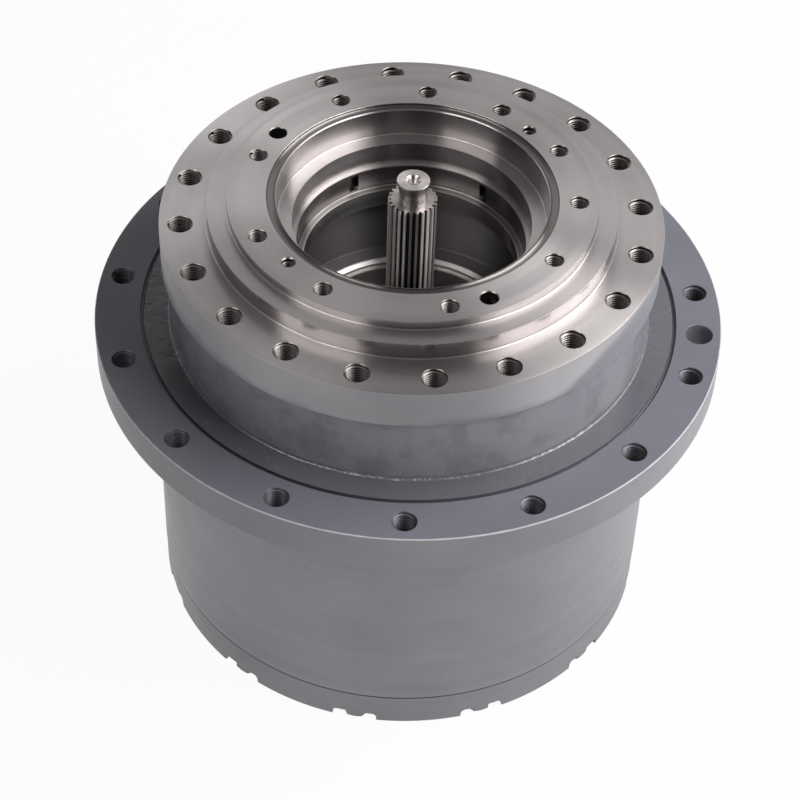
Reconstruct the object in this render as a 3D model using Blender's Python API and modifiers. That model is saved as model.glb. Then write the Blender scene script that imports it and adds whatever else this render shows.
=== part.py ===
"""Excavator final drive: a two-stage planetary reducer with a rotating housing.

It stands on its cover with the motor side up. All sizes are in metres, +Z is the axis of rotation.
"""
import bmesh
import bpy
from math import acos, cos, pi, radians, sin, tan
from mathutils import Matrix

# Fits and facets
gap = 0.0003
overrun = 0.002
weld_distance = 0.00001
crease_angle = radians(32)
flat_angle = radians(0.2)
hub_sides = 30
case_sides = 32
ring_sides = 20
shaft_sides = 16
pin_sides = 8
hole_sides = 8
hex_sides = 6

# Gear train: both stages share one internal gear
gear_module = 0.006
sun_teeth = 12
planet_teeth = 18
ring_teeth = sun_teeth + 2 * planet_teeth
planet_count = 3
pressure_angle = radians(20)
addendum_share = 1.0
dedendum_share = 1.25
sun_backlash = 0
planet_backlash = 0.0001
ring_backlash = 0.001
sun_pitch_radius = gear_module * sun_teeth / 2
planet_pitch_radius = gear_module * planet_teeth / 2
ring_pitch_radius = gear_module * ring_teeth / 2
planet_circle_radius = sun_pitch_radius + planet_pitch_radius
planet_angles = tuple(2 * pi * index / planet_count for index in range(planet_count))
planet_letters = "abc"
sun_opening_clearance = 0.002
carrier_opening_radius = sun_pitch_radius + addendum_share * gear_module + sun_opening_clearance
ring_root_radius = gear_module * (ring_teeth / 2 + dedendum_share)
ring_tip_radius = gear_module * (ring_teeth / 2 - addendum_share)

# Drum with the internal gear
seal_land = 0.007
bolt_land = 0.0097
bolt_edge = 0.0103
counterbore_radius = ring_root_radius + seal_land
bolt_circle_radius = counterbore_radius + bolt_land
drum_radius = bolt_circle_radius + bolt_edge
seal_ring_height = 0.0019
seal_ring_width = 0.0035

# Cover
cover_step = 0.0003
cover_radius = drum_radius - cover_step
cover_rim_height = 0.027
cover_rim_width = 0.0302
cover_recess_radius = cover_radius - cover_rim_width
cover_recess_depth = 0.008
cover_plate_thickness = 0.012
spigot_height = 0.004
spigot_width = 0.012
notch_count = 12
notch_phase = radians(21)
notch_width = 0.032
notch_depth = 0.007
notch_land = 0.0117
notch_inner_radius = bolt_circle_radius - notch_land
plug_inset = 0.048
plug_circle_radius = cover_recess_radius - plug_inset
plug_angles = (radians(0), radians(90), radians(180))
plug_thread_radius = 0.01
plug_head_radius = 0.015
plug_head_height = 0.005
plug_thread_length = 0.01

# Long cover bolts
bolt_radius = 0.006
bolt_head_radius = 0.0104
bolt_head_height = 0.0062
bolt_thread_depth = 0.018
bolt_end_clearance = 0.002

# Input shaft
shaft_journal_radius = 0.0125
shaft_radius = 0.0145
shaft_stand_out = 0.0123
spline_teeth = 24
spline_tip_radius = 0.0165
spline_root_radius = 0.0149
spline_length = 0.085
pilot_length = 0.016
pilot_neck_radius = 0.0094
pilot_head_radius = 0.0112
pilot_head_height = 0.0045
pilot_taper_height = 0.0018
centre_hole_radius = 0.003
centre_hole_depth = 0.008
thrust_pad_radius = 0.022
thrust_pad_height = 0.01

# Planetary stages, from the cover upwards
carrier_clearance = 0.0091
carrier_rim_clearance = 0.003
carrier_radius = ring_tip_radius - carrier_rim_clearance
web_rim_step = 0.003
web_outer_radius = carrier_radius - web_rim_step
web_opening_step = 0.004
web_inner_radius = carrier_opening_radius + web_opening_step
web_side_steps = 5
web_back_steps = 4
axial_float = 0.0005
carrier_1_lower_plate = 0.01
planet_1_width = 0.03
carrier_1_upper_plate = 0.012
stage_gap = 0.006
carrier_2_lower_plate = 0.011
planet_2_width = 0.04
carrier_2_upper_plate = 0.012
planet_window_clearance = 0.0015
planet_bore_radius = 0.024
planet_pin_radius = 0.0165
pin_recess = 0.001
pin_socket_depth = 0.008
sun_bore_radius = 0.0178
spline_fit = 0.0004
carrier_bore_radius = 0.021

# Main bearings, nut and spindle
spindle_tail = 0.008
nut_height = 0.014
nut_section = 0.013
nut_slot_count = 4
nut_slot_angle = radians(5)
nut_slot_depth = 0.005
thread_drop = 0.003
thread_overlap = 0.001
bearing_width = 0.03
chamber_margin = 0.002
spindle_wall = 0.023
bearing_section = 0.0275
chamber_radius = planet_circle_radius + chamber_margin
bearing_bore_radius = chamber_radius + spindle_wall
bearing_outer_radius = bearing_bore_radius + bearing_section
nut_outer_radius = bearing_bore_radius + nut_section
thread_radius = bearing_bore_radius - thread_drop
cone_thin_wall = 0.0055
cone_thick_wall = 0.0105
cup_thin_wall = 0.005
cup_thick_wall = 0.01
roller_count = 14
roller_crest_share = 0.42
roller_fit = 0.0004
roller_length_share = 0.8
cage_thickness = 0.0025
rib_height = 0.016
rib_lip = 0.0065
rib_radius = bearing_outer_radius - rib_lip

# Housing with the sprocket flange
housing_spigot_length = 0.034
flange_reach = 0.0395
flange_radius = drum_radius + flange_reach
flange_thickness = 0.027
flange_hole_count = 15
flange_hole_phase = radians(6.6)
flange_hole_inset = 0.0156
flange_hole_circle_radius = flange_radius - flange_hole_inset
flange_hole_radius = 0.008
flange_plain_hole_angle = radians(-5.3)
flange_plain_hole_radius = 0.009
neck_length = 0.0515
neck_foot_fillet = 0.0035
seal_seat_step = 0.001
neck_wall = 0.0225
seal_seat_radius = bearing_outer_radius + seal_seat_step
neck_radius = seal_seat_radius + neck_wall
seat_relief = 0.003

# Floating face seal
seal_gap = 0.0015
seal_metal_height = 0.0105
seal_bore_clearance = 0.0035
seal_body_inset = 0.011
seal_face_inset = 0.005
spindle_shoulder_step = 0.005
spindle_shoulder_radius = bearing_bore_radius + spindle_shoulder_step
seal_metal_bore_radius = spindle_shoulder_radius + seal_bore_clearance
seal_metal_body_radius = seal_seat_radius - seal_body_inset
seal_metal_face_radius = seal_seat_radius - seal_face_inset
seal_metal_lip = 0.0032
toric_sides = 6

# Hub outside
hub_flange_overhang = 0.004
hub_flange_radius = neck_radius + hub_flange_overhang
hub_flange_thickness = 0.029
bolt_face_width = 0.032
boss_lower_radius = hub_flange_radius - bolt_face_width
boss_lower_height = 0.0125
boss_step_width = 0.0135
boss_upper_radius = boss_lower_radius - boss_step_width
boss_upper_height = 0.0062
hub_recess_depth = 0.0135
frame_hole_count = 20
frame_hole_phase = radians(6.6)
frame_hole_inset = 0.0143
frame_hole_circle_radius = hub_flange_radius - frame_hole_inset
frame_hole_radius = 0.008
frame_hole_depth = 0.023
motor_hole_inset = 0.0132
motor_hole_circle_radius = boss_upper_radius - motor_hole_inset
motor_hole_angles = tuple(radians(angle) for angle in (28, 58, 86, 118, 162, 205, 240, 284, 327, 359))
motor_hole_radius = 0.006
motor_hole_depth = 0.022
dowel_hole_angles = (radians(148), radians(297))
dowel_hole_radius = 0.006
dowel_hole_depth = 0.014
port_inset = 0.0175
port_circle_radius = boss_upper_radius - port_inset
port_angles = (radians(43), radians(223))
port_radius = 0.004
port_depth = 0.018

# Hub bore, as depths below the top face
lip_step = 0.006
lip_radius = chamber_radius + lip_step
lip_depth = 0.0016
pilot_step = 0.0005
pilot_bore_radius = chamber_radius - pilot_step
pilot_bore_depth = 0.022
upper_step_width = 0.0105
upper_step_radius = pilot_bore_radius - upper_step_width
upper_step_depth = 0.0395
middle_step_width = 0.003
middle_step_radius = upper_step_radius - middle_step_width
middle_step_depth = 0.0567
lower_step_width = 0.0045
lower_step_radius = middle_step_radius - lower_step_width
lower_step_depth = 0.0707
chamber_depth = 0.1267
seat_ring_width = 0.012
seat_ring_radius = chamber_radius - seat_ring_width
seat_ring_chamfer = 0.004
seat_ring_step = 0.007
inner_bore_radius = seat_ring_radius - seat_ring_step
carrier_seat_wall = 0.004
carrier_seat_radius = chamber_radius - carrier_seat_wall
carrier_seat_length = 0.03
carrier_seat_end_gap = 0.002
pocket_start_angle = radians(51)
pocket_end_angle = radians(118)
slot_end_angle = radians(124)
pocket_lip = 0.002
pocket_depth = 0.003
slot_depth = 0.006

# Levels along the axis, from the foot of the cover upwards
cover_plate_top = cover_recess_depth + cover_plate_thickness
spigot_top = cover_rim_height + spigot_height
drum_bottom = cover_rim_height + gap
pad_bottom = cover_plate_top + gap
shaft_bottom = pad_bottom + thrust_pad_height + gap
carrier_1_bottom = spigot_top + carrier_clearance
planet_1_bottom = carrier_1_bottom + carrier_1_lower_plate + axial_float
planet_1_top = planet_1_bottom + planet_1_width
carrier_1_plate = planet_1_top + axial_float
carrier_1_top = carrier_1_plate + carrier_1_upper_plate
carrier_2_bottom = carrier_1_top + stage_gap
planet_2_bottom = carrier_2_bottom + carrier_2_lower_plate + axial_float
planet_2_top = planet_2_bottom + planet_2_width
carrier_2_plate = planet_2_top + axial_float
carrier_2_top = carrier_2_plate + carrier_2_upper_plate
spindle_end = carrier_2_top + gap
nut_bottom = spindle_end + spindle_tail
nut_top = nut_bottom + nut_height
lower_bearing_bottom = nut_top + gap
lower_bearing_top = lower_bearing_bottom + bearing_width
flange_bottom = lower_bearing_top + gap
drum_top = flange_bottom - gap
rib_top = flange_bottom + rib_height
upper_bearing_bottom = rib_top + gap
upper_bearing_top = upper_bearing_bottom + bearing_width
flange_top = flange_bottom + flange_thickness
neck_top = flange_top + neck_length
hub_flange_bottom = neck_top + seal_gap
hub_face = hub_flange_bottom + hub_flange_thickness
boss_step = hub_face + boss_lower_height
hub_top = boss_step + boss_upper_height
shaft_top = hub_top + shaft_stand_out
seal_plane = (neck_top + hub_flange_bottom) / 2
housing_spigot_bottom = flange_bottom - housing_spigot_length
drum_upper_shoulder = housing_spigot_bottom - seal_ring_height - 2 * gap
drum_lower_shoulder = spigot_top + seal_ring_height + 2 * gap


def inside(radius, sides):
    """Corner radius of a piece in a bore with the same facets."""
    return radius - gap / cos(pi / sides)


def around(radius, sides):
    """Corner radius of a bore around a piece with the same facets."""
    return radius + gap / cos(pi / sides)


def free_inside(radius, bore_sides):
    """Corner radius of a piece that turns or lies freely in a faceted bore."""
    return radius * cos(pi / bore_sides) - gap


def free_around(radius, own_sides):
    """Corner radius of a faceted bore around a piece that turns freely in it."""
    return (radius + gap) / cos(pi / own_sides)


spigot_radius = inside(counterbore_radius, case_sides)
bolt_hole_radius = around(bolt_radius, hex_sides)
pin_hole_radius = around(planet_pin_radius, pin_sides)
flat_ring_radius = free_inside(counterbore_radius, case_sides)


for leftover in list(bpy.data.objects):
    bpy.data.objects.remove(leftover, do_unlink=True)


def new_collection(name):
    collection = bpy.data.collections.new(name)
    bpy.context.scene.collection.children.link(collection)
    return collection


parts = new_collection("excavator_final_drive")
tools = new_collection("cutters")


def finish(name, color, roughness, metallic):
    material = bpy.data.materials.new(name)
    material.use_nodes = True
    shader = material.node_tree.nodes["Principled BSDF"]
    shader.inputs["Base Color"].default_value = (*color, 1)
    shader.inputs["Roughness"].default_value = roughness
    shader.inputs["Metallic"].default_value = metallic
    material.diffuse_color = (*color, 1)
    return material


def add_empty(name, place=(0, 0, 0)):
    empty = bpy.data.objects.new(name, None)
    empty.location = place
    parts.objects.link(empty)
    return empty


def add_piece(name, mesh, material, body, place=(0, 0, 0)):
    item = bpy.data.objects.new(name, mesh)
    parts.objects.link(item)
    mesh.materials.append(material)
    item.parent = body
    item.location = place
    return item


def add_tool(name, mesh):
    item = bpy.data.objects.new(name, mesh)
    tools.objects.link(item)
    item.hide_render = True
    item.display_type = "WIRE"
    return item


# Outlines in plan, as lists of x and y

def polar(radius, angle):
    return radius * cos(angle), radius * sin(angle)


def spread(count, phase=0):
    return [phase + 2 * pi * index / count for index in range(count)]


def steps(start, end, count):
    return [start + (end - start) * index / count for index in range(count + 1)]


def at_angles(radius, angles):
    return [polar(radius, angle) for angle in angles]


def circle(radius, sides, centre=(0, 0)):
    return [(centre[0] + x, centre[1] + y) for x, y in at_angles(radius, spread(sides))]


def involute(angle):
    return tan(angle) - angle


def tooth_half_angle(radius, pitch_radius, teeth, backlash, side):
    """Half the angle that a tooth fills at a radius; side is 1 for outer teeth and -1 for inner ones."""
    base_radius = pitch_radius * cos(pressure_angle)
    local_angle = acos(base_radius / max(radius, base_radius))
    at_pitch = pi / (2 * teeth) - backlash / (2 * pitch_radius)
    return at_pitch + side * (involute(pressure_angle) - involute(local_angle))


def gear_outline(teeth, radii, backlash, side=1, turn=0):
    pitch_radius = gear_module * teeth / 2
    flank = [(radius, tooth_half_angle(radius, pitch_radius, teeth, backlash, side)) for radius in radii]
    outline = []
    for middle in spread(teeth, turn):
        outline += [polar(radius, middle - half) for radius, half in flank]
        outline += [polar(radius, middle + half) for radius, half in reversed(flank)]
    return outline


def sun_outline(growth=0):
    """Sun teeth; growth widens them for the toothed bore that they fit."""
    root = sun_pitch_radius - dedendum_share * gear_module + growth
    tip = sun_pitch_radius + addendum_share * gear_module + growth
    return gear_outline(sun_teeth, (root, sun_pitch_radius, tip), sun_backlash - 2 * growth)


def planet_outline(turn):
    root = planet_pitch_radius - dedendum_share * gear_module
    tip = planet_pitch_radius + addendum_share * gear_module
    return gear_outline(planet_teeth, (root, tip), planet_backlash, turn=turn)


def ring_outline():
    root = ring_pitch_radius + dedendum_share * gear_module
    tip = ring_pitch_radius - addendum_share * gear_module
    return gear_outline(ring_teeth, (root, tip), ring_backlash, side=-1)


def spline_outline():
    step = 2 * pi / spline_teeth
    outline = []
    for middle in spread(spline_teeth):
        outline += at_angles(spline_tip_radius, (middle - step / 6, middle + step / 6))
        outline.append(polar(spline_root_radius, middle + step / 2))
    return outline


def web_outline(middle):
    """Plan of the carrier web between two planets, hollowed by their tip circles."""
    hollow = planet_pitch_radius + addendum_share * gear_module + planet_window_clearance
    half_pitch = pi / planet_count
    side = []
    for radius in steps(web_inner_radius, web_outer_radius, web_side_steps):
        reach = (radius ** 2 + planet_circle_radius ** 2 - hollow ** 2) / (2 * radius * planet_circle_radius)
        side.append((radius, half_pitch - acos(reach)))
    back_half = side[-1][1]
    outline = [polar(radius, middle - half) for radius, half in side]
    outline += at_angles(web_outer_radius, steps(middle - back_half, middle + back_half, web_back_steps)[1:-1])
    outline += [polar(radius, middle + half) for radius, half in reversed(side)]
    return outline


# Meshes

def mesh_of(name, shape):
    bmesh.ops.recalc_face_normals(shape, faces=shape.faces)
    mesh = bpy.data.meshes.new(name)
    shape.to_mesh(mesh)
    shape.free()
    return mesh


def evaluated_mesh(item):
    view = bpy.context.evaluated_depsgraph_get()
    return bpy.data.meshes.new_from_object(item.evaluated_get(view))


def extruded(name, outlines, bottom, top):
    """Flat outline with holes, drawn as a filled curve and extruded between two levels."""
    curve = bpy.data.curves.new(name, "CURVE")
    curve.dimensions = "2D"
    curve.fill_mode = "BOTH"
    curve.extrude = (top - bottom) / 2
    for outline in outlines:
        line = curve.splines.new("POLY")
        line.points.add(len(outline) - 1)
        line.use_cyclic_u = True
        for point, (x, y) in zip(line.points, outline):
            point.co = (x, y, 0, 1)
    guide = bpy.data.objects.new(name, curve)
    guide.location.z = (bottom + top) / 2
    tools.objects.link(guide)
    bpy.context.view_layer.update()
    filled = evaluated_mesh(guide)
    filled.transform(guide.matrix_world)
    bpy.data.objects.remove(guide, do_unlink=True)
    shape = bmesh.new()
    shape.from_mesh(filled)
    bmesh.ops.remove_doubles(shape, verts=shape.verts, dist=weld_distance)
    return mesh_of(name, shape)


def turned(name, profile, sides, closed=True):
    """Solid of revolution; the profile runs down its outer side and up its inner side."""
    points = [(radius, 0, level) for radius, level in profile]
    edges = [(index, index + 1) for index in range(len(points) - 1)]
    if closed:
        edges.append((len(points) - 1, 0))
    mesh = bpy.data.meshes.new(name)
    mesh.from_pydata(points, edges, [])
    guide = bpy.data.objects.new(name, mesh)
    tools.objects.link(guide)
    screw = guide.modifiers.new("turn", "SCREW")
    screw.steps = sides
    screw.render_steps = sides
    screw.use_merge_vertices = True
    screw.merge_threshold = weld_distance
    solid = evaluated_mesh(guide)
    bpy.data.objects.remove(guide, do_unlink=True)
    return solid


def posts(name, centres, radius, bottom, top, sides):
    """Upright posts in one mesh, each with a corner towards +X, which cut a pattern of holes."""
    shape = bmesh.new()
    for x, y in centres:
        matrix = Matrix.Translation((x, y, (bottom + top) / 2)) @ Matrix.Rotation(pi / 2, 4, "Z")
        bmesh.ops.create_cone(shape, cap_ends=True, segments=sides, radius1=radius, radius2=radius,
                              depth=top - bottom, matrix=matrix)
    return mesh_of(name, shape)


def blocks(name, angles, inner, outer, width, bottom, top):
    """Radial blocks in one mesh, which cut a pattern of notches."""
    shape = bmesh.new()
    for angle in angles:
        middle = Matrix.Translation(((inner + outer) / 2, 0, (bottom + top) / 2))
        size = Matrix.Diagonal((outer - inner, width, top - bottom, 1))
        bmesh.ops.create_cube(shape, size=1, matrix=Matrix.Rotation(angle, 4, "Z") @ middle @ size)
    return mesh_of(name, shape)


def add_boolean(target, mesh, operation):
    modifier = target.modifiers.new(mesh.name, "BOOLEAN")
    modifier.operation = operation
    modifier.solver = "EXACT"
    modifier.object = add_tool(mesh.name, mesh)


def cut(target, mesh):
    add_boolean(target, mesh, "DIFFERENCE")


def join(target, mesh):
    add_boolean(target, mesh, "UNION")


# Pieces

def make_hub(material, body):
    recess_roof = hub_flange_bottom + hub_recess_depth
    bearing_shoulder = upper_bearing_top + gap
    thread_end = lower_bearing_bottom + thread_overlap
    seat_end = spindle_end + carrier_seat_length
    chamber_floor = hub_top - chamber_depth
    chamber_roof = hub_top - lower_step_depth
    middle_floor = hub_top - middle_step_depth
    upper_floor = hub_top - upper_step_depth
    pilot_floor = hub_top - pilot_bore_depth
    profile = (
        (lip_radius, hub_top), (boss_upper_radius, hub_top), (boss_upper_radius, boss_step),
        (boss_lower_radius, boss_step), (boss_lower_radius, hub_face), (hub_flange_radius, hub_face),
        (hub_flange_radius, hub_flange_bottom), (seal_seat_radius, hub_flange_bottom),
        (seal_seat_radius, recess_roof), (spindle_shoulder_radius, recess_roof),
        (spindle_shoulder_radius, bearing_shoulder), (bearing_bore_radius, bearing_shoulder),
        (bearing_bore_radius, thread_end), (thread_radius, thread_end), (thread_radius, spindle_end),
        (carrier_seat_radius, spindle_end), (carrier_seat_radius, seat_end), (inner_bore_radius, seat_end),
        (inner_bore_radius, chamber_floor - seat_ring_chamfer), (seat_ring_radius, chamber_floor),
        (chamber_radius, chamber_floor), (chamber_radius, chamber_roof), (lower_step_radius, chamber_roof),
        (lower_step_radius, middle_floor), (middle_step_radius, middle_floor), (middle_step_radius, upper_floor),
        (upper_step_radius, upper_floor), (upper_step_radius, pilot_floor), (pilot_bore_radius, pilot_floor),
        (pilot_bore_radius, hub_top - lip_depth),
    )
    hub = add_piece("hub", turned("hub", profile, hub_sides), material, body)
    frame_holes = at_angles(frame_hole_circle_radius, spread(frame_hole_count, frame_hole_phase))
    motor_holes = at_angles(motor_hole_circle_radius, motor_hole_angles)
    dowel_holes = at_angles(motor_hole_circle_radius, dowel_hole_angles)
    ports = at_angles(port_circle_radius, port_angles)
    cut(hub, posts("hub_frame_holes", frame_holes, frame_hole_radius,
                   hub_face - frame_hole_depth, hub_face + overrun, hole_sides))
    cut(hub, posts("hub_motor_holes", motor_holes, motor_hole_radius,
                   hub_top - motor_hole_depth, hub_top + overrun, hole_sides))
    cut(hub, posts("hub_dowel_holes", dowel_holes, dowel_hole_radius,
                   hub_top - dowel_hole_depth, hub_top + overrun, hole_sides))
    cut(hub, posts("hub_ports", ports, port_radius, hub_top - port_depth, hub_top + overrun, hex_sides))

    # The middle step of the bore has a shallow pocket that ends in a deeper slot
    arc = steps(pocket_start_angle, pocket_end_angle, hex_sides)
    pocket = at_angles(middle_step_radius + pocket_depth, arc)
    pocket += at_angles(middle_step_radius + slot_depth, (pocket_end_angle, slot_end_angle))
    pocket += at_angles(middle_step_radius - pocket_depth, [slot_end_angle] + arc[::-1])
    cut(hub, extruded("hub_bore_pocket", [pocket], middle_floor + pocket_lip, upper_floor - pocket_lip))


def make_housing(material, body):
    seat_foot = upper_bearing_top + seat_relief
    profile = (
        (neck_radius, neck_top), (neck_radius, flange_top + neck_foot_fillet),
        (neck_radius + neck_foot_fillet, flange_top), (flange_radius, flange_top),
        (flange_radius, flange_bottom), (spigot_radius, flange_bottom), (spigot_radius, housing_spigot_bottom),
        (bearing_outer_radius, housing_spigot_bottom), (bearing_outer_radius, flange_bottom),
        (rib_radius, flange_bottom), (rib_radius, rib_top), (bearing_outer_radius, rib_top),
        (bearing_outer_radius, seat_foot), (seal_seat_radius, seat_foot), (seal_seat_radius, neck_top),
    )
    housing = add_piece("housing", turned("housing", profile, case_sides), material, body)
    tapped = at_angles(flange_hole_circle_radius, spread(flange_hole_count, flange_hole_phase))
    plain = at_angles(flange_hole_circle_radius, [flange_plain_hole_angle])
    threads = at_angles(bolt_circle_radius, spread(notch_count, notch_phase))
    cut(housing, posts("flange_holes", tapped, flange_hole_radius,
                       flange_bottom - overrun, flange_top + overrun, hole_sides))
    cut(housing, posts("flange_plain_hole", plain, flange_plain_hole_radius,
                       flange_bottom - overrun, flange_top + overrun, hole_sides))
    cut(housing, posts("housing_bolt_threads", threads, bolt_hole_radius, flange_bottom - overrun,
                       flange_bottom + bolt_thread_depth + bolt_end_clearance, hex_sides))


def make_ring_gear(material, body):
    bolts = [circle(bolt_hole_radius, hex_sides, centre)
             for centre in at_angles(bolt_circle_radius, spread(notch_count, notch_phase))]
    outlines = [circle(drum_radius, case_sides), ring_outline()] + bolts
    drum = add_piece("ring_gear", extruded("ring_gear", outlines, drum_bottom, drum_top), material, body)
    cut(drum, posts("drum_lower_counterbore", [(0, 0)], counterbore_radius, drum_bottom - overrun,
                    drum_lower_shoulder, case_sides))
    cut(drum, posts("drum_upper_counterbore", [(0, 0)], counterbore_radius, drum_upper_shoulder,
                    drum_top + overrun, case_sides))


def make_cover(material, body):
    hollow_radius = spigot_radius - spigot_width
    profile = (
        (0, cover_plate_top), (hollow_radius, cover_plate_top), (hollow_radius, spigot_top),
        (spigot_radius, spigot_top), (spigot_radius, cover_rim_height), (cover_radius, cover_rim_height),
        (cover_radius, 0), (cover_recess_radius, 0), (cover_recess_radius, cover_recess_depth),
        (0, cover_recess_depth),
    )
    cover = add_piece("cover", turned("cover", profile, case_sides, closed=False), material, body)
    angles = spread(notch_count, notch_phase)
    cut(cover, blocks("cover_notches", angles, notch_inner_radius, cover_radius + overrun, notch_width,
                      -overrun, notch_depth))
    cut(cover, posts("cover_bolt_holes", at_angles(bolt_circle_radius, angles), bolt_hole_radius,
                     notch_depth - overrun, cover_rim_height + overrun, hex_sides))
    cut(cover, posts("cover_plug_holes", at_angles(plug_circle_radius, plug_angles),
                     around(plug_thread_radius, hex_sides), cover_recess_depth - overrun,
                     cover_plate_top + overrun, hex_sides))


def screw_mesh(name, head_radius, head_bottom, head_top, shank_radius, shank_top):
    """Hexagon-headed screw that points up."""
    profile = ((0, shank_top), (shank_radius, shank_top), (shank_radius, head_top),
               (head_radius, head_top), (head_radius, head_bottom), (0, head_bottom))
    return turned(name, profile, hex_sides, closed=False)


def make_cover_bolts(material, body):
    head_top = notch_depth - gap
    for number, angle in enumerate(spread(notch_count, notch_phase), start=1):
        name = f"cover_bolt_{number:02d}"
        mesh = screw_mesh(name, bolt_head_radius, head_top - bolt_head_height, head_top,
                          bolt_radius, flange_bottom + bolt_thread_depth)
        add_piece(name, mesh, material, body, (*polar(bolt_circle_radius, angle), 0))


def make_plugs(material, body):
    head_top = cover_recess_depth - gap
    for name, angle in zip(("fill_plug", "level_plug", "drain_plug"), plug_angles):
        mesh = screw_mesh(name, plug_head_radius, head_top - plug_head_height, head_top,
                          plug_thread_radius, head_top + plug_thread_length)
        add_piece(name, mesh, material, body, (*polar(plug_circle_radius, angle), 0))


def make_flat_ring(name, bottom, material, body):
    """Seal ring that lies in the corner between a spigot and a counterbore."""
    top = bottom + seal_ring_height
    inner = flat_ring_radius - seal_ring_width
    profile = ((flat_ring_radius, top), (flat_ring_radius, bottom), (inner, bottom), (inner, top))
    add_piece(name, turned(name, profile, ring_sides), material, body)


def make_seal_metal(name, direction, material, body):
    """Lapped face ring; direction is 1 for the hub side and -1 for the housing side."""
    face = seal_plane + direction * gap / 2
    lip = face + direction * seal_metal_lip
    back = face + direction * seal_metal_height
    profile = [(seal_metal_bore_radius, face), (seal_metal_bore_radius, back), (seal_metal_body_radius, back),
               (seal_metal_body_radius, lip), (seal_metal_face_radius, face)]
    add_piece(name, turned(name, profile[::direction], ring_sides), material, body)


def make_seal_rubber(name, direction, material, body):
    """Loading ring between the metal ring and its seat."""
    inner = around(seal_metal_body_radius, ring_sides)
    outer = free_inside(seal_seat_radius, hub_sides)
    radius = (outer - inner) / 2
    reach = radius * sin(pi / 3)
    middle = seal_plane + direction * (seal_metal_lip + gap + reach)
    section = circle(radius, hex_sides, (inner + radius, middle))
    add_piece(name, turned(name, section[::-1], ring_sides), material, body)


def bearing_profile(bottom, thick_end, thick_side, thin_side):
    """Section of a bearing ring between the radii of its wide end and of its narrow end."""
    top = bottom + bearing_width
    upper, lower = (thick_side, thin_side) if thick_end > 0 else (thin_side, thick_side)
    return (upper[1], top), (lower[1], bottom), (lower[0], bottom), (upper[0], top)


def make_bearing_cone(name, bottom, thick_end, material, body):
    bore = around(bearing_bore_radius, hub_sides)
    profile = bearing_profile(bottom, thick_end, (bore, bearing_bore_radius + cone_thick_wall),
                              (bore, bearing_bore_radius + cone_thin_wall))
    add_piece(name, turned(name, profile, hub_sides), material, body)


def make_bearing_cup(name, bottom, thick_end, material, body):
    outer = inside(bearing_outer_radius, case_sides)
    profile = bearing_profile(bottom, thick_end, (bearing_outer_radius - cup_thin_wall, outer),
                              (bearing_outer_radius - cup_thick_wall, outer))
    add_piece(name, turned(name, profile, case_sides), material, body)


def make_roller_set(name, bottom, thick_end, material, body):
    """Tapered rollers held at even spacing by their cage."""
    length = bearing_width * roller_length_share
    low = bottom + (bearing_width - length) / 2
    margin_share = (1 - roller_length_share) / 2
    rise = cone_thick_wall - cone_thin_wall
    step = 2 * pi / roller_count
    half = step * roller_crest_share / 2
    inner = (bearing_bore_radius + cone_thick_wall - rise * margin_share + roller_fit) / cos(half)
    outer = (bearing_outer_radius - cup_thin_wall - rise * margin_share) * cos(pi / case_sides) - roller_fit
    web = (inner + outer) / 2
    outer_loop = []
    inner_loop = []
    for angle in spread(roller_count):
        outer_loop += at_angles(outer, (angle - half, angle + half))
        outer_loop.append(polar(web + cage_thickness / 2, angle + step / 2))
        inner_loop += at_angles(inner, (angle - half, angle + half))
        inner_loop.append(polar(web - cage_thickness / 2, angle + step / 2))
    mesh = extruded(name, [outer_loop, inner_loop], low, low + length)
    narrow_end = [vertex for vertex in mesh.vertices if (vertex.co.z - low - length / 2) * thick_end < 0]
    for vertex in narrow_end:
        reach = vertex.co.xy.length
        vertex.co.xy = vertex.co.xy * (reach - rise * roller_length_share) / reach
    add_piece(name, mesh, material, body)


def make_bearing_nut(material, body):
    half = nut_slot_angle / 2
    rim = []
    for angle in spread(nut_slot_count):
        rim += at_angles(nut_outer_radius - nut_slot_depth, (angle - half, angle + half))
        rim += at_angles(nut_outer_radius, steps(angle + half, angle + 2 * pi / nut_slot_count - half, hex_sides))
    bore = circle(around(thread_radius, hub_sides), hub_sides)
    add_piece("bearing_nut", extruded("bearing_nut", [rim, bore], nut_bottom, nut_top), material, body)


def make_input_shaft(material, body):
    spline_top = shaft_top - pilot_length
    head_bottom = shaft_top - pilot_head_height
    profile = (
        (0, shaft_top), (pilot_head_radius, shaft_top), (pilot_head_radius, head_bottom),
        (pilot_neck_radius, head_bottom - pilot_taper_height), (pilot_neck_radius, spline_top - overrun),
        (shaft_radius, spline_top - overrun), (shaft_radius, planet_1_bottom + overrun),
        (shaft_journal_radius, planet_1_bottom + overrun), (shaft_journal_radius, shaft_bottom),
        (0, shaft_bottom),
    )
    shaft = add_piece("input_shaft", turned("input_shaft", profile, shaft_sides, closed=False), material, body)
    join(shaft, extruded("input_spline", [spline_outline()], spline_top - spline_length, spline_top))
    join(shaft, extruded("first_sun_teeth", [sun_outline()], planet_1_bottom, carrier_1_plate - gap))
    cut(shaft, posts("shaft_centre_hole", [(0, 0)], centre_hole_radius, shaft_top - centre_hole_depth,
                     shaft_top + overrun, hole_sides))


def make_thrust_pad(material, body):
    pad = posts("thrust_pad", [(0, 0)], thrust_pad_radius, pad_bottom, pad_bottom + thrust_pad_height, shaft_sides)
    add_piece("thrust_pad", pad, material, body)


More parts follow.
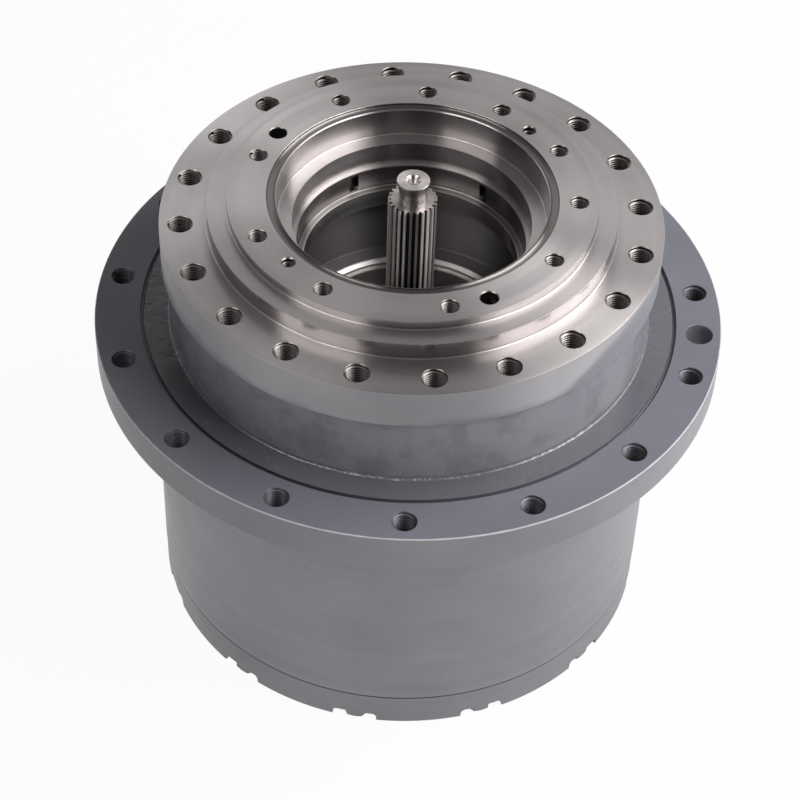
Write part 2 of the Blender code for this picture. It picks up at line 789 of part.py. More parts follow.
def add_webs_and_sockets(carrier, upper_plate, bottom, planet_bottom, plate_bottom):
    """Join the lower plate to three webs and the upper plate, then cut the seats of the planet pins."""
    webs = [web_outline(angle) for angle in spread(planet_count, pi / planet_count)]
    join(carrier, extruded(carrier.name + "_webs", webs, planet_bottom - axial_float - overrun,
                           plate_bottom + overrun))
    join(carrier, upper_plate)
    cut(carrier, posts(carrier.name + "_pin_seats", at_angles(planet_circle_radius, planet_angles),
                       pin_hole_radius, bottom - overrun, plate_bottom + pin_socket_depth, pin_sides))


def make_carrier_1(material, body):
    rim = circle(carrier_radius, ring_sides)
    opening = circle(carrier_opening_radius, ring_sides)
    lower_plate = extruded("carrier_1", [rim, opening], carrier_1_bottom, planet_1_bottom - axial_float)
    carrier = add_piece("carrier_1", lower_plate, material, body)
    upper_plate = extruded("carrier_1_upper_plate", [rim, sun_outline(spline_fit)], carrier_1_plate, carrier_1_top)
    add_webs_and_sockets(carrier, upper_plate, carrier_1_bottom, planet_1_bottom, carrier_1_plate)


def make_carrier_2(material, body):
    rim = circle(carrier_radius, ring_sides)
    opening = circle(carrier_opening_radius, ring_sides)
    lower_plate = extruded("carrier_2", [rim, opening], carrier_2_bottom, planet_2_bottom - axial_float)
    carrier = add_piece("carrier_2", lower_plate, material, body)
    seat = inside(carrier_seat_radius, hub_sides)
    boss_top = spindle_end + carrier_seat_length - carrier_seat_end_gap
    profile = ((carrier_bore_radius, boss_top), (seat, boss_top), (seat, carrier_2_top),
               (carrier_radius, carrier_2_top), (carrier_radius, carrier_2_plate),
               (carrier_bore_radius, carrier_2_plate))
    add_webs_and_sockets(carrier, turned("carrier_2_upper_plate", profile, hub_sides),
                         carrier_2_bottom, planet_2_bottom, carrier_2_plate)


def make_sun_gear_2(material, body):
    outlines = [sun_outline(), circle(sun_bore_radius, shaft_sides)]
    mesh = extruded("sun_gear_2", outlines, carrier_1_plate + gap, carrier_2_plate - gap)
    add_piece("sun_gear_2", mesh, material, body)


def make_stage(stage, low, high, pin_low, pin_high, pin_body, gear_steel, pin_steel, bush_metal):
    """Three planets on their pins; each planet and its bush turn about an empty on the pin's axis."""
    shell = circle(inside(planet_bore_radius, pin_sides), pin_sides)
    lining = circle(free_around(planet_pin_radius, pin_sides), pin_sides)
    bore = circle(planet_bore_radius, pin_sides)
    for letter, angle in zip(planet_letters, planet_angles):
        centre = (*polar(planet_circle_radius, angle), 0)
        pin = f"planet_pin_{stage}_{letter}"
        gear = f"planet_gear_{stage}_{letter}"
        bush = f"planet_bush_{stage}_{letter}"
        axle = add_empty(f"planet_axis_{stage}_{letter}", centre)
        teeth = planet_outline(angle - pi / planet_teeth)
        add_piece(pin, posts(pin, [(0, 0)], planet_pin_radius, pin_low, pin_high, pin_sides),
                  pin_steel, pin_body, centre)
        add_piece(gear, extruded(gear, [teeth, bore], low, high), gear_steel, axle)
        add_piece(bush, extruded(bush, [shell, lining], low, high), bush_metal, axle)


def merge_flat_faces(mesh):
    """Dissolve the edges that the cuts left inside flat faces."""
    shape = bmesh.new()
    shape.from_mesh(mesh)
    bmesh.ops.dissolve_limit(shape, angle_limit=flat_angle, verts=shape.verts, edges=shape.edges)
    shape.to_mesh(mesh)
    shape.free()


def finish_pieces():
    """Give each piece its finished mesh, smooth with sharp corners, and clear the cutters away."""
    pieces = [item for item in parts.objects if item.type == "MESH"]
    finished = [evaluated_mesh(item) for item in pieces]
    for item, mesh in zip(pieces, finished):
        item.modifiers.clear()
        item.data = mesh
        merge_flat_faces(mesh)
        mesh.shade_smooth()
        mesh.set_sharp_from_angle(angle=crease_angle)
    for tool in list(tools.objects):
        bpy.data.objects.remove(tool, do_unlink=True)


def build():
    machined = finish("machined steel", (0.42, 0.4, 0.39), 0.3, 1.0)
    paint = finish("slate paint", (0.13, 0.135, 0.16), 0.45, 0.0)
    bolt_steel = finish("bolt steel", (0.16, 0.16, 0.17), 0.4, 1.0)
    bearing_steel = finish("bearing steel", (0.55, 0.55, 0.56), 0.2, 1.0)
    gear_steel = finish("gear steel", (0.33, 0.33, 0.34), 0.35, 1.0)
    bronze = finish("bush bronze", (0.45, 0.27, 0.1), 0.35, 1.0)
    cast_iron = finish("cast iron", (0.2, 0.2, 0.2), 0.6, 0.8)
    rubber = finish("seal rubber", (0.02, 0.02, 0.02), 0.7, 0.0)

    hub_body = add_empty("hub_axis")
    housing_body = add_empty("housing_axis")
    input_body = add_empty("input_axis")
    carrier_1_body = add_empty("carrier_1_axis")
    upper_rollers_body = add_empty("upper_rollers_axis")
    lower_rollers_body = add_empty("lower_rollers_axis")

    make_hub(machined, hub_body)
    make_bearing_cone("upper_bearing_inner_ring", upper_bearing_bottom, 1, bearing_steel, hub_body)
    make_bearing_cone("lower_bearing_inner_ring", lower_bearing_bottom, -1, bearing_steel, hub_body)
    make_bearing_nut(bolt_steel, hub_body)
    make_seal_metal("face_seal_ring_hub", 1, bearing_steel, hub_body)
    make_seal_rubber("face_seal_rubber_hub", 1, rubber, hub_body)
    make_carrier_2(cast_iron, hub_body)

    make_housing(paint, housing_body)
    make_ring_gear(paint, housing_body)
    make_cover(paint, housing_body)
    make_bearing_cup("upper_bearing_outer_ring", upper_bearing_bottom, 1, bearing_steel, housing_body)
    make_bearing_cup("lower_bearing_outer_ring", lower_bearing_bottom, -1, bearing_steel, housing_body)
    make_seal_metal("face_seal_ring_housing", -1, bearing_steel, housing_body)
    make_seal_rubber("face_seal_rubber_housing", -1, rubber, housing_body)
    make_flat_ring("cover_seal_ring", spigot_top + gap, rubber, housing_body)
    make_flat_ring("housing_seal_ring", drum_upper_shoulder + gap, rubber, housing_body)
    make_thrust_pad(bronze, housing_body)
    make_cover_bolts(bolt_steel, housing_body)
    make_plugs(bolt_steel, housing_body)

    make_input_shaft(gear_steel, input_body)
    make_carrier_1(cast_iron, carrier_1_body)
    make_sun_gear_2(gear_steel, carrier_1_body)
    make_roller_set("upper_bearing_rollers", upper_bearing_bottom, 1, bearing_steel, upper_rollers_body)
    make_roller_set("lower_bearing_rollers", lower_bearing_bottom, -1, bearing_steel, lower_rollers_body)
    make_stage(1, planet_1_bottom, planet_1_top, carrier_1_bottom + pin_recess,
               carrier_1_plate + pin_socket_depth - gap, carrier_1_body, gear_steel, bearing_steel, bronze)
    make_stage(2, planet_2_bottom, planet_2_top, carrier_2_bottom + pin_recess,
               carrier_2_plate + pin_socket_depth - gap, hub_body, gear_steel, bearing_steel, bronze)
    finish_pieces()


build()
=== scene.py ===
"""Looks of an excavator final drive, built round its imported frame. Metres, +Z up."""

from math import cos, pi, radians, sin

import bmesh
import bpy
from mathutils import Matrix, Vector


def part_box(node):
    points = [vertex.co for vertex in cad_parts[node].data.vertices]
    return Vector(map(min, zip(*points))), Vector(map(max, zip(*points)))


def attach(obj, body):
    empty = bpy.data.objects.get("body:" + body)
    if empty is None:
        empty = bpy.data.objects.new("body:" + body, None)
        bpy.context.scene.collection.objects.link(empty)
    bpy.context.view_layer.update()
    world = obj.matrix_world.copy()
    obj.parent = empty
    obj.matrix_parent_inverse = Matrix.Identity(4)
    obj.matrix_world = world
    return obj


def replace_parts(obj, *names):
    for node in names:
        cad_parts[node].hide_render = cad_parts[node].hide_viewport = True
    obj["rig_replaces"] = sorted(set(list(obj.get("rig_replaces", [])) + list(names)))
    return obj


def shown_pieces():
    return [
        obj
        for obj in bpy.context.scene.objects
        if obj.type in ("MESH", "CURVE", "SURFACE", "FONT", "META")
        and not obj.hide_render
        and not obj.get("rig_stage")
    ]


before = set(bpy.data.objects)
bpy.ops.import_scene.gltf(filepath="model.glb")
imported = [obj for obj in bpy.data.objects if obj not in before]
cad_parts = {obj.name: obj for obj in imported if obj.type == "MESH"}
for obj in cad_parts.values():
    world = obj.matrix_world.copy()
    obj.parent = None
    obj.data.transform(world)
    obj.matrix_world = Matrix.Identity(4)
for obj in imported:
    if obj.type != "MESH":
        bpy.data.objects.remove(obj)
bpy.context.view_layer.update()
scene = bpy.context.scene

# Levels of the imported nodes
hub_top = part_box("hub")[1].z
spindle_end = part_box("hub")[0].z
neck_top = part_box("housing")[1].z
spigot_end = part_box("housing")[0].z
drum_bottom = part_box("ring_gear")[0].z
drum_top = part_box("ring_gear")[1].z
cover_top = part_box("cover")[1].z
shaft_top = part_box("input_shaft")[1].z

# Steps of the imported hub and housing
boss_upper_height = 0.0062
boss_lower_height = 0.0125
hub_flange_thickness = 0.029
spigot_length = 0.034
flange_thickness = 0.027
boss_step = hub_top - boss_upper_height
hub_face = boss_step - boss_lower_height
hub_under = hub_face - hub_flange_thickness
flange_bottom = spigot_end + spigot_length
flange_top = flange_bottom + flange_thickness

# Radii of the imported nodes
boss_upper_radius = 0.1245
boss_lower_radius = 0.138
hub_radius = 0.17
neck_radius = 0.166
seal_seat_radius = 0.1435
flange_radius = 0.218
drum_radius = 0.1785
cover_radius = 0.1782
cover_rim_height = 0.027
above_cover_rim = 0.0285
spigot_radius = max(Vector((vert.co.x, vert.co.y)).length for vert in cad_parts["cover"].data.vertices
                    if vert.co.z > above_cover_rim)

# Threads, as hole radius, crest radius and pitch
m16 = (0.0082, 0.007, 0.002)
m12 = (0.0061, 0.0052, 0.00175)
port_thread = (0.0042, 0.0035, 0.00125)
thread_mouth = 0.0006
thread_runout = 0.0005
tapped_chamfer = 0.0004

# Cover bolts and plugs
bolt_count = 12
bolt_phase = radians(21)
bolt_circle = 0.1682
bolt_hole_radius = 0.0063
plug_circle = 0.1
plug_angles = (0, 90, 180)

# Fineness of the meshes
round_steps = 180
sector_steps = 360
hole_steps = 32
bolt_hole_steps = 24
thread_steps_per_turn = 18
overrun = 0.002
merge_distance = 1e-6
corner_tolerance = 2e-5


# Modelling

def everything(bm):
    return bm.verts[:] + bm.edges[:] + bm.faces[:]


def verts_among(items):
    return [item for item in items if isinstance(item, bmesh.types.BMVert)]


def linked(name, bm):
    """A new object in the scene with the bmesh as its mesh."""
    mesh = bpy.data.meshes.new(name)
    bm.to_mesh(mesh)
    bm.free()
    item = bpy.data.objects.new(name, mesh)
    scene.collection.objects.link(item)
    return item


def spun(profile, steps=round_steps, closed=True):
    """A few profile points (radius, height) spun round the axis."""
    bm = bmesh.new()
    points = [bm.verts.new((radius, 0, height)) for radius, height in profile]
    pairs = list(zip(points, points[1:] + points[:1])) if closed else list(zip(points, points[1:]))
    edges = [bm.edges.new(pair) for pair in pairs]
    bmesh.ops.spin(bm, geom=points + edges, cent=(0, 0, 0), axis=(0, 0, 1), dvec=(0, 0, 0),
                   angle=2 * pi, steps=steps, use_merge=True)
    bmesh.ops.remove_doubles(bm, verts=bm.verts, dist=merge_distance)
    bmesh.ops.recalc_face_normals(bm, faces=bm.faces)
    return bm


def tube(inner, outer, low, high):
    """Profile of a ring with a rectangular section."""
    return [(inner, low), (outer, low), (outer, high), (inner, high)]


def post(radius, low, high, steps=round_steps):
    return spun(tube(0, radius, low, high), steps, closed=False)


def sector(profile, start, end):
    """The part of a spun ring between two angles in degrees, less than half a turn apart."""
    bm = spun(profile, sector_steps)
    for angle, side in ((start, 1), (end, -1)):
        turn = radians(angle)
        bmesh.ops.bisect_plane(bm, geom=everything(bm), plane_co=(0, 0, 0),
                               plane_no=(-sin(turn) * side, cos(turn) * side, 0), clear_inner=True)
    bmesh.ops.holes_fill(bm, edges=[edge for edge in bm.edges if edge.is_boundary])
    bmesh.ops.recalc_face_normals(bm, faces=bm.faces)
    return bm


def round_off(bm, edges, width, segments, **settings):
    bmesh.ops.bevel(bm, geom=edges, offset=width, segments=segments, profile=0.5, affect="EDGES",
                    material=-1, **settings)


def soften(bm, corners, width, segments=2):
    """Bevels the rings that run through the given (radius, height) corners."""
    rings = []
    for edge in bm.edges:
        ends = [(Vector((vert.co.x, vert.co.y)).length, vert.co.z) for vert in edge.verts]
        if any(all(abs(r - radius) < corner_tolerance and abs(z - height) < corner_tolerance for r, z in ends)
               for radius, height in corners):
            rings.append(edge)
    round_off(bm, rings, width, segments, offset_type="OFFSET", clamp_overlap=True)


def repeated(bm, places):
    """The shape once at each (radius, angle) place, turned to face outwards."""
    source = everything(bm)
    for radius, angle in places:
        copies = bmesh.ops.duplicate(bm, geom=source)["geom"]
        bmesh.ops.transform(bm, verts=verts_among(copies), space=Matrix.Identity(4),
                            matrix=Matrix.Rotation(angle, 4, "Z") @ Matrix.Translation((radius, 0, 0)))
    bmesh.ops.delete(bm, geom=verts_among(source), context="VERTS")
    return bm


def ring_of(radius, count, phase):
    return [(radius, phase + 2 * pi * index / count) for index in range(count)]


def at_degrees(radius, *angles):
    return [(radius, radians(angle)) for angle in angles]


def drill(radius, top, bottom, chamfer, places, point=0.5):
    """Holes with a chamfered mouth; the point is the depth of the drill's cone as a share of its radius."""
    profile = [(0, bottom - radius * point), (radius, bottom), (radius, top - chamfer),
               (radius + chamfer + overrun, top + overrun), (0, top + overrun)]
    return repeated(spun(profile, hole_steps, closed=False), places)


def thread(root, crest, pitch, bottom, top, places):
    """A closed helical ridge that stands out of the wall of each hole."""
    bm = bmesh.new()
    half = pitch / 2
    foot_radius = root + 0.0002
    foot = half * 0.96
    land = pitch * 0.07
    shape = [(foot_radius, -foot), (crest, -land), (crest, land), (foot_radius, foot)]
    points = [bm.verts.new((radius, 0, bottom + half + height)) for radius, height in shape]
    face = bm.faces.new(points)
    turns = (top - bottom - pitch) / pitch
    steps = round(turns * thread_steps_per_turn)
    bmesh.ops.spin(bm, geom=points + face.edges[:] + [face], cent=(0, 0, 0), axis=(0, 0, 1),
                   dvec=(0, 0, turns * pitch / steps), angle=2 * pi * turns, steps=steps)
    bmesh.ops.recalc_face_normals(bm, faces=bm.faces)
    return repeated(bm, places)


def piece(name, bm, finishes, body, replaces=(), crease=30):
    """A finished piece at the origin, which rides on a body."""
    item = linked(name, bm)
    for finish in finishes:
        item.data.materials.append(finish)
    item.data.shade_smooth()
    item.data.set_sharp_from_angle(angle=radians(crease))
    flat = item.modifiers.new("flat_faces", "WEIGHTED_NORMAL")
    flat.mode = "FACE_AREA"
    flat.weight = 90
    flat.keep_sharp = True
    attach(item, body)
    if replaces:
        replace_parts(item, *replaces)


def shaped(bm, operation, *tools, finishes=()):
    """The bmesh after an exact Boolean with each tool, whose walls may take the second of two finishes."""
    item = linked("blank", bm)
    cutters = [linked("cutter", tool) for tool in tools]
    if finishes:
        item.data.materials.append(finishes[0])
    for cutter in cutters:
        if finishes:
            cutter.data.materials.append(finishes[1])
        modifier = item.modifiers.new("shape", "BOOLEAN")
        modifier.material_mode = "TRANSFER" if finishes else "INDEX"
        modifier.operation = operation
        modifier.solver = "EXACT"
        modifier.object = cutter
    bpy.context.view_layer.update()
    result = bmesh.new()
    evaluated = item.evaluated_get(bpy.context.evaluated_depsgraph_get())
    result.from_mesh(evaluated.to_mesh())
    evaluated.to_mesh_clear()
    for used in [item, *cutters]:
        old = used.data
        bpy.data.objects.remove(used)
        bpy.data.meshes.remove(old)
    bmesh.ops.remove_doubles(result, verts=result.verts, dist=merge_distance)
    return result


def copy_of(node):
    """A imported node's shape as one welded bmesh."""
    bm = bmesh.new()
    bm.from_mesh(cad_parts[node].data)
    bmesh.ops.remove_doubles(bm, verts=bm.verts, dist=merge_distance)
    return bm


def joined(*shapes):
    mesh = bpy.data.meshes.new("joined")
    result = bmesh.new()
    for shape in shapes:
        shape.to_mesh(mesh)
        shape.free()
        result.from_mesh(mesh)
    bpy.data.meshes.remove(mesh)
    return result


# Shader nodes and groups

def put(tree, kind, sockets=None, **settings):
    """Adds a shader node; a value that is itself a socket is linked."""
    made = tree.nodes.new("ShaderNode" + kind)
    for name, value in settings.items():
        setattr(made, name, value)
    for name, value in (sockets or {}).items():
        if isinstance(value, bpy.types.NodeSocket):
            tree.links.new(value, made.inputs[name])
        else:
            made.inputs[name].default_value = value
    return made


def math(tree, operation, *values):
    return put(tree, "Math", dict(enumerate(values)), operation=operation).outputs[0]


def ramp(tree, value, low, high, out_low=0.0, out_high=1.0, smooth=True):
    return put(tree, "MapRange", {"Value": value, "From Min": low, "From Max": high, "To Min": out_low,
                                  "To Max": out_high},
               interpolation_type="SMOOTHSTEP" if smooth else "LINEAR").outputs[0]


def blend(tree, factor, first, second):
    """Mix of two colours; either may be a socket."""
    first, second = (value if isinstance(value, bpy.types.NodeSocket) else (*value, 1.0)
                     for value in (first, second))
    return put(tree, "Mix", {0: factor, 6: first, 7: second}, data_type="RGBA").outputs[2]


def lerp(tree, factor, first, second):
    return put(tree, "Mix", {0: factor, 2: first, 3: second}).outputs[0]


def noise(tree, position, scale, detail=2.0, roughness=0.5, **settings):
    return put(tree, "TexNoise", {"Vector": position, "Scale": scale, "Detail": detail,
                                  "Roughness": roughness}, **settings).outputs[0]


def bump(tree, height, strength, distance):
    return put(tree, "Bump", {"Height": height, "Strength": strength, "Distance": distance}).outputs[0]


def round_coordinates(tree):
    """Object position, and its radius and height about the axis."""
    position = put(tree, "TexCoord").outputs["Object"]
    parts = put(tree, "SeparateXYZ", {0: position})
    flat = put(tree, "CombineXYZ", {"X": parts.outputs["X"], "Y": parts.outputs["Y"]}).outputs[0]
    radius = put(tree, "VectorMath", {0: flat}, operation="LENGTH").outputs["Value"]
    return position, radius, parts.outputs["Z"]


def flatness(tree):
    """1 on faces square to the axis and 0 on walls along it."""
    normal = put(tree, "NewGeometry").outputs["True Normal"]
    return math(tree, "ABSOLUTE", put(tree, "SeparateXYZ", {0: normal}).outputs["Z"])


def group(name, inputs, outputs):
    """A node group with float sockets: each input with its value, and the outputs."""
    tree = bpy.data.node_groups.new(name, "ShaderNodeTree")
    for label, value in inputs.items():
        socket = tree.interface.new_socket(label, in_out="INPUT", socket_type="NodeSocketFloat")
        socket.default_value = value
    for label in outputs:
        tree.interface.new_socket(label, in_out="OUTPUT", socket_type="NodeSocketFloat")
    return tree, tree.nodes.new("NodeGroupInput").outputs, tree.nodes.new("NodeGroupOutput").inputs


def make_turning_marks():
    """Concentric tool marks on faces and rings on walls, as masks about 0.5."""
    tree, given, out = group("turning_marks", {"Spacing": 900.0, "Banding": 70.0}, ["Fine", "Bands"])
    _, radius, height = round_coordinates(tree)
    place = put(tree, "CombineXYZ", {"X": radius, "Y": height}).outputs[0]
    tree.links.new(noise(tree, place, given["Spacing"], 3.0, 0.7, noise_dimensions="2D"), out["Fine"])
    tree.links.new(noise(tree, place, given["Banding"], 1.0, 0.5, noise_dimensions="2D"), out["Bands"])
    return tree


def make_smudges():
    """Oil film and handling marks as clouds, and fine specks."""
    tree, given, out = group("smudges", {"Scale": 12.0, "Contrast": 0.2}, ["Cloud", "Specks"])
    position = put(tree, "TexCoord").outputs["Object"]
    warped = put(tree, "TexNoise", {"Vector": position, "Scale": 6.0, "Detail": 1.0}).outputs["Color"]
    shifted = put(tree, "VectorMath", {0: warped, 1: (0.06, 0.06, 0.06), 2: position},
                  operation="MULTIPLY_ADD").outputs[0]
    cloud = noise(tree, shifted, given["Scale"], 4.0, 0.6)
    low = math(tree, "SUBTRACT", 0.5, given["Contrast"])
    high = math(tree, "ADD", 0.5, given["Contrast"])
    tree.links.new(ramp(tree, cloud, low, high), out["Cloud"])
    tree.links.new(ramp(tree, noise(tree, position, 260.0), 0.68, 0.76), out["Specks"])
    return tree


def make_cast_skin():
    """Height of a sand-cast surface: soft lumps, grain and a few pits."""
    tree, given, out = group("cast_skin", {"Lump": 45.0, "Grain": 420.0}, ["Height", "Hollows"])
    position = put(tree, "TexCoord").outputs["Object"]
    lumps = noise(tree, position, given["Lump"], 3.0, 0.55)
    grain = noise(tree, position, given["Grain"], 3.0, 0.6)
    pits = ramp(tree, noise(tree, position, 150.0, 1.0), 0.3, 0.42)
    height = math(tree, "MULTIPLY_ADD", grain, 0.16, math(tree, "MULTIPLY_ADD", pits, 0.2, lumps))
    tree.links.new(height, out["Height"])
    tree.links.new(ramp(tree, lumps, 0.55, 0.35), out["Hollows"])
    return tree


def make_zone():
    """Mask of a band between two radii and two heights, with a soft or ragged edge."""
    tree, given, out = group("zone", {"Inner": 0.0, "Outer": 1.0, "Low": 0.0, "High": 1.0, "Soft": 0.0002,
                                      "Ragged": 0.0, "Grain": 22.0}, ["Mask"])
    position, radius, height = round_coordinates(tree)
    rough = noise(tree, position, given["Grain"], 4.0, 0.6)
    push = math(tree, "MULTIPLY", math(tree, "SUBTRACT", rough, 0.5), given["Ragged"])
    mask = None
    for value, inner, outer in ((math(tree, "ADD", radius, push), "Inner", "Outer"),
                                (math(tree, "ADD", height, push), "Low", "High")):
        for edge, before, after in ((inner, 0.0, 1.0), (outer, 1.0, 0.0)):
            start = math(tree, "SUBTRACT", given[edge], given["Soft"])
            end = math(tree, "ADD", given[edge], given["Soft"])
            side = ramp(tree, value, start, end, before, after)
            mask = side if mask is None else math(tree, "MULTIPLY", mask, side)
    tree.links.new(mask, out["Mask"])
    return tree


turning_marks = make_turning_marks()
smudges = make_smudges()
cast_skin = make_cast_skin()
zone = make_zone()


def use(tree, shared, **values):
    return put(tree, "Group", values, node_tree=shared).outputs


def band(tree, **limits):
    return use(tree, zone, **limits)["Mask"]


def new_material(name):
    made = bpy.data.materials.new(name)
    made.use_nodes = True
    tree = made.node_tree
    return made, tree, tree.nodes["Principled BSDF"]


def wire(tree, shader, **sockets):
    for name, value in sockets.items():
        socket = shader.inputs[name.replace("_", " ")]
        if isinstance(value, bpy.types.NodeSocket):
            tree.links.new(value, socket)
        else:
            socket.default_value = (*value, 1.0) if isinstance(value, tuple) else value


def brush_round_axis(tree, shader, strength):
    """Stretches the highlights across tool marks that run round the axis."""
    tangent = put(tree, "Tangent", direction_type="RADIAL", axis="Z").outputs[0]
    wire(tree, shader, Anisotropic=strength, Anisotropic_Rotation=0.25, Tangent=tangent)


def srgb(red, green, blue):
    """A colour read off a screen, as linear light."""
    return tuple((value / 255 / 12.92) if value <= 10 else ((value / 255 + 0.055) / 1.055) ** 2.4
                 for value in (red, green, blue))


# Finishes

def steel(name, bright, dull, rough_low, rough_high, metallic=1.0, anisotropy=0.0, spacing=900.0,
          relief=0.12, cloud_scale=12.0):
    """Metal with tool marks about the axis and cloudiness."""
    made, tree, shader = new_material(name)
    marks = use(tree, turning_marks, Spacing=spacing)
    film = use(tree, smudges, Scale=cloud_scale, Contrast=0.25)
    tone = math(tree, "MULTIPLY_ADD", marks["Fine"], 0.5, math(tree, "MULTIPLY", film["Cloud"], 0.5))
    wear = math(tree, "ADD", marks["Bands"], math(tree, "MULTIPLY", film["Cloud"], 0.3))
    wire(tree, shader, Base_Color=blend(tree, tone, bright, dull), Metallic=metallic,
         Roughness=ramp(tree, wear, 0.3, 1.0, rough_low, rough_high, smooth=False),
         Normal=bump(tree, marks["Fine"], relief, 0.0002))
    if anisotropy:
        brush_round_axis(tree, shader, anisotropy)
    return made


def make_hub_finish():
    """Warm turned steel, darker in the chamber, with painted shade in the recess and seal groove, and a
    thinly painted rim.
    """
    made, tree, shader = new_material("turned_hub_steel")
    bright = srgb(190, 185, 184)
    dull = srgb(162, 157, 157)
    forged = srgb(98, 95, 94)
    # Colour of the painted shade in the seal groove round the mouth and in the band of the bore that holds
    # the pocket
    painted_shade = srgb(118, 114, 113)
    rim_light = srgb(168, 165, 168)
    rim_dark = srgb(148, 146, 150)
    overspray = srgb(124, 124, 132)
    marks = use(tree, turning_marks, Spacing=1100.0, Banding=80.0)
    film = use(tree, smudges, Scale=9.0, Contrast=0.3)
    skin = use(tree, cast_skin, Lump=60.0)
    chamber = band(tree, Inner=0.0803, Outer=0.0945, Low=spindle_end, High=hub_face - 0.0385, Soft=0.0006)
    rim = band(tree, Inner=hub_radius - 0.0008, High=hub_face - 0.0003)
    mouth = band(tree, Inner=0.0922, Outer=0.0981, Low=hub_top - 0.004, High=hub_top - 0.0005)
    recess = band(tree, Inner=0.0742, Outer=0.0885, Low=hub_top - 0.0572, High=hub_top - 0.0398, Soft=0.0003)
    tone = math(tree, "MULTIPLY_ADD", marks["Fine"], 0.45, math(tree, "MULTIPLY", film["Cloud"], 0.55))
    color = blend(tree, chamber, blend(tree, tone, bright, dull), forged)
    # Painted shade: the seal groove and the pocket's band of the bore are darkened
    color = blend(tree, mouth, color, painted_shade)
    color = blend(tree, math(tree, "MULTIPLY", recess, 0.8), color, painted_shade)
    color = blend(tree, rim, color, blend(tree, film["Cloud"], rim_light, rim_dark))

    # Overspray on the foot of the rim, which climbs higher at the right
    position, _, height = round_coordinates(tree)
    sideways = put(tree, "SeparateXYZ", {0: position}).outputs["X"]
    reach = math(tree, "MULTIPLY_ADD", ramp(tree, sideways, 0.085, 0.155), -0.024, height)
    drift = math(tree, "MULTIPLY_ADD", noise(tree, position, 7.0, 4.0, 0.6), 0.05, reach)
    mist = math(tree, "MULTIPLY", rim, ramp(tree, drift, hub_under + 0.036, hub_under + 0.024))
    color = blend(tree, mist, color, overspray)
    paint = math(tree, "MAXIMUM", mist, math(tree, "MULTIPLY", rim, 0.55))

    rough = lerp(tree, flatness(tree), ramp(tree, marks["Bands"], 0.25, 0.8, 0.2, 0.28, smooth=False),
                 ramp(tree, marks["Bands"], 0.25, 0.8, 0.28, 0.36, smooth=False))
    rough = lerp(tree, chamber, rough, 0.5)
    rough = lerp(tree, rim, rough, 0.42)
    relief = lerp(tree, math(tree, "MAXIMUM", chamber, rim), math(tree, "MULTIPLY", marks["Fine"], 0.5),
                  skin["Height"])
    wire(tree, shader, Base_Color=color, Metallic=math(tree, "SUBTRACT", 1.0, paint), Roughness=rough,
         Normal=bump(tree, relief, 0.12, 0.0004))
    brush_round_axis(tree, shader, 0.95)
    return made


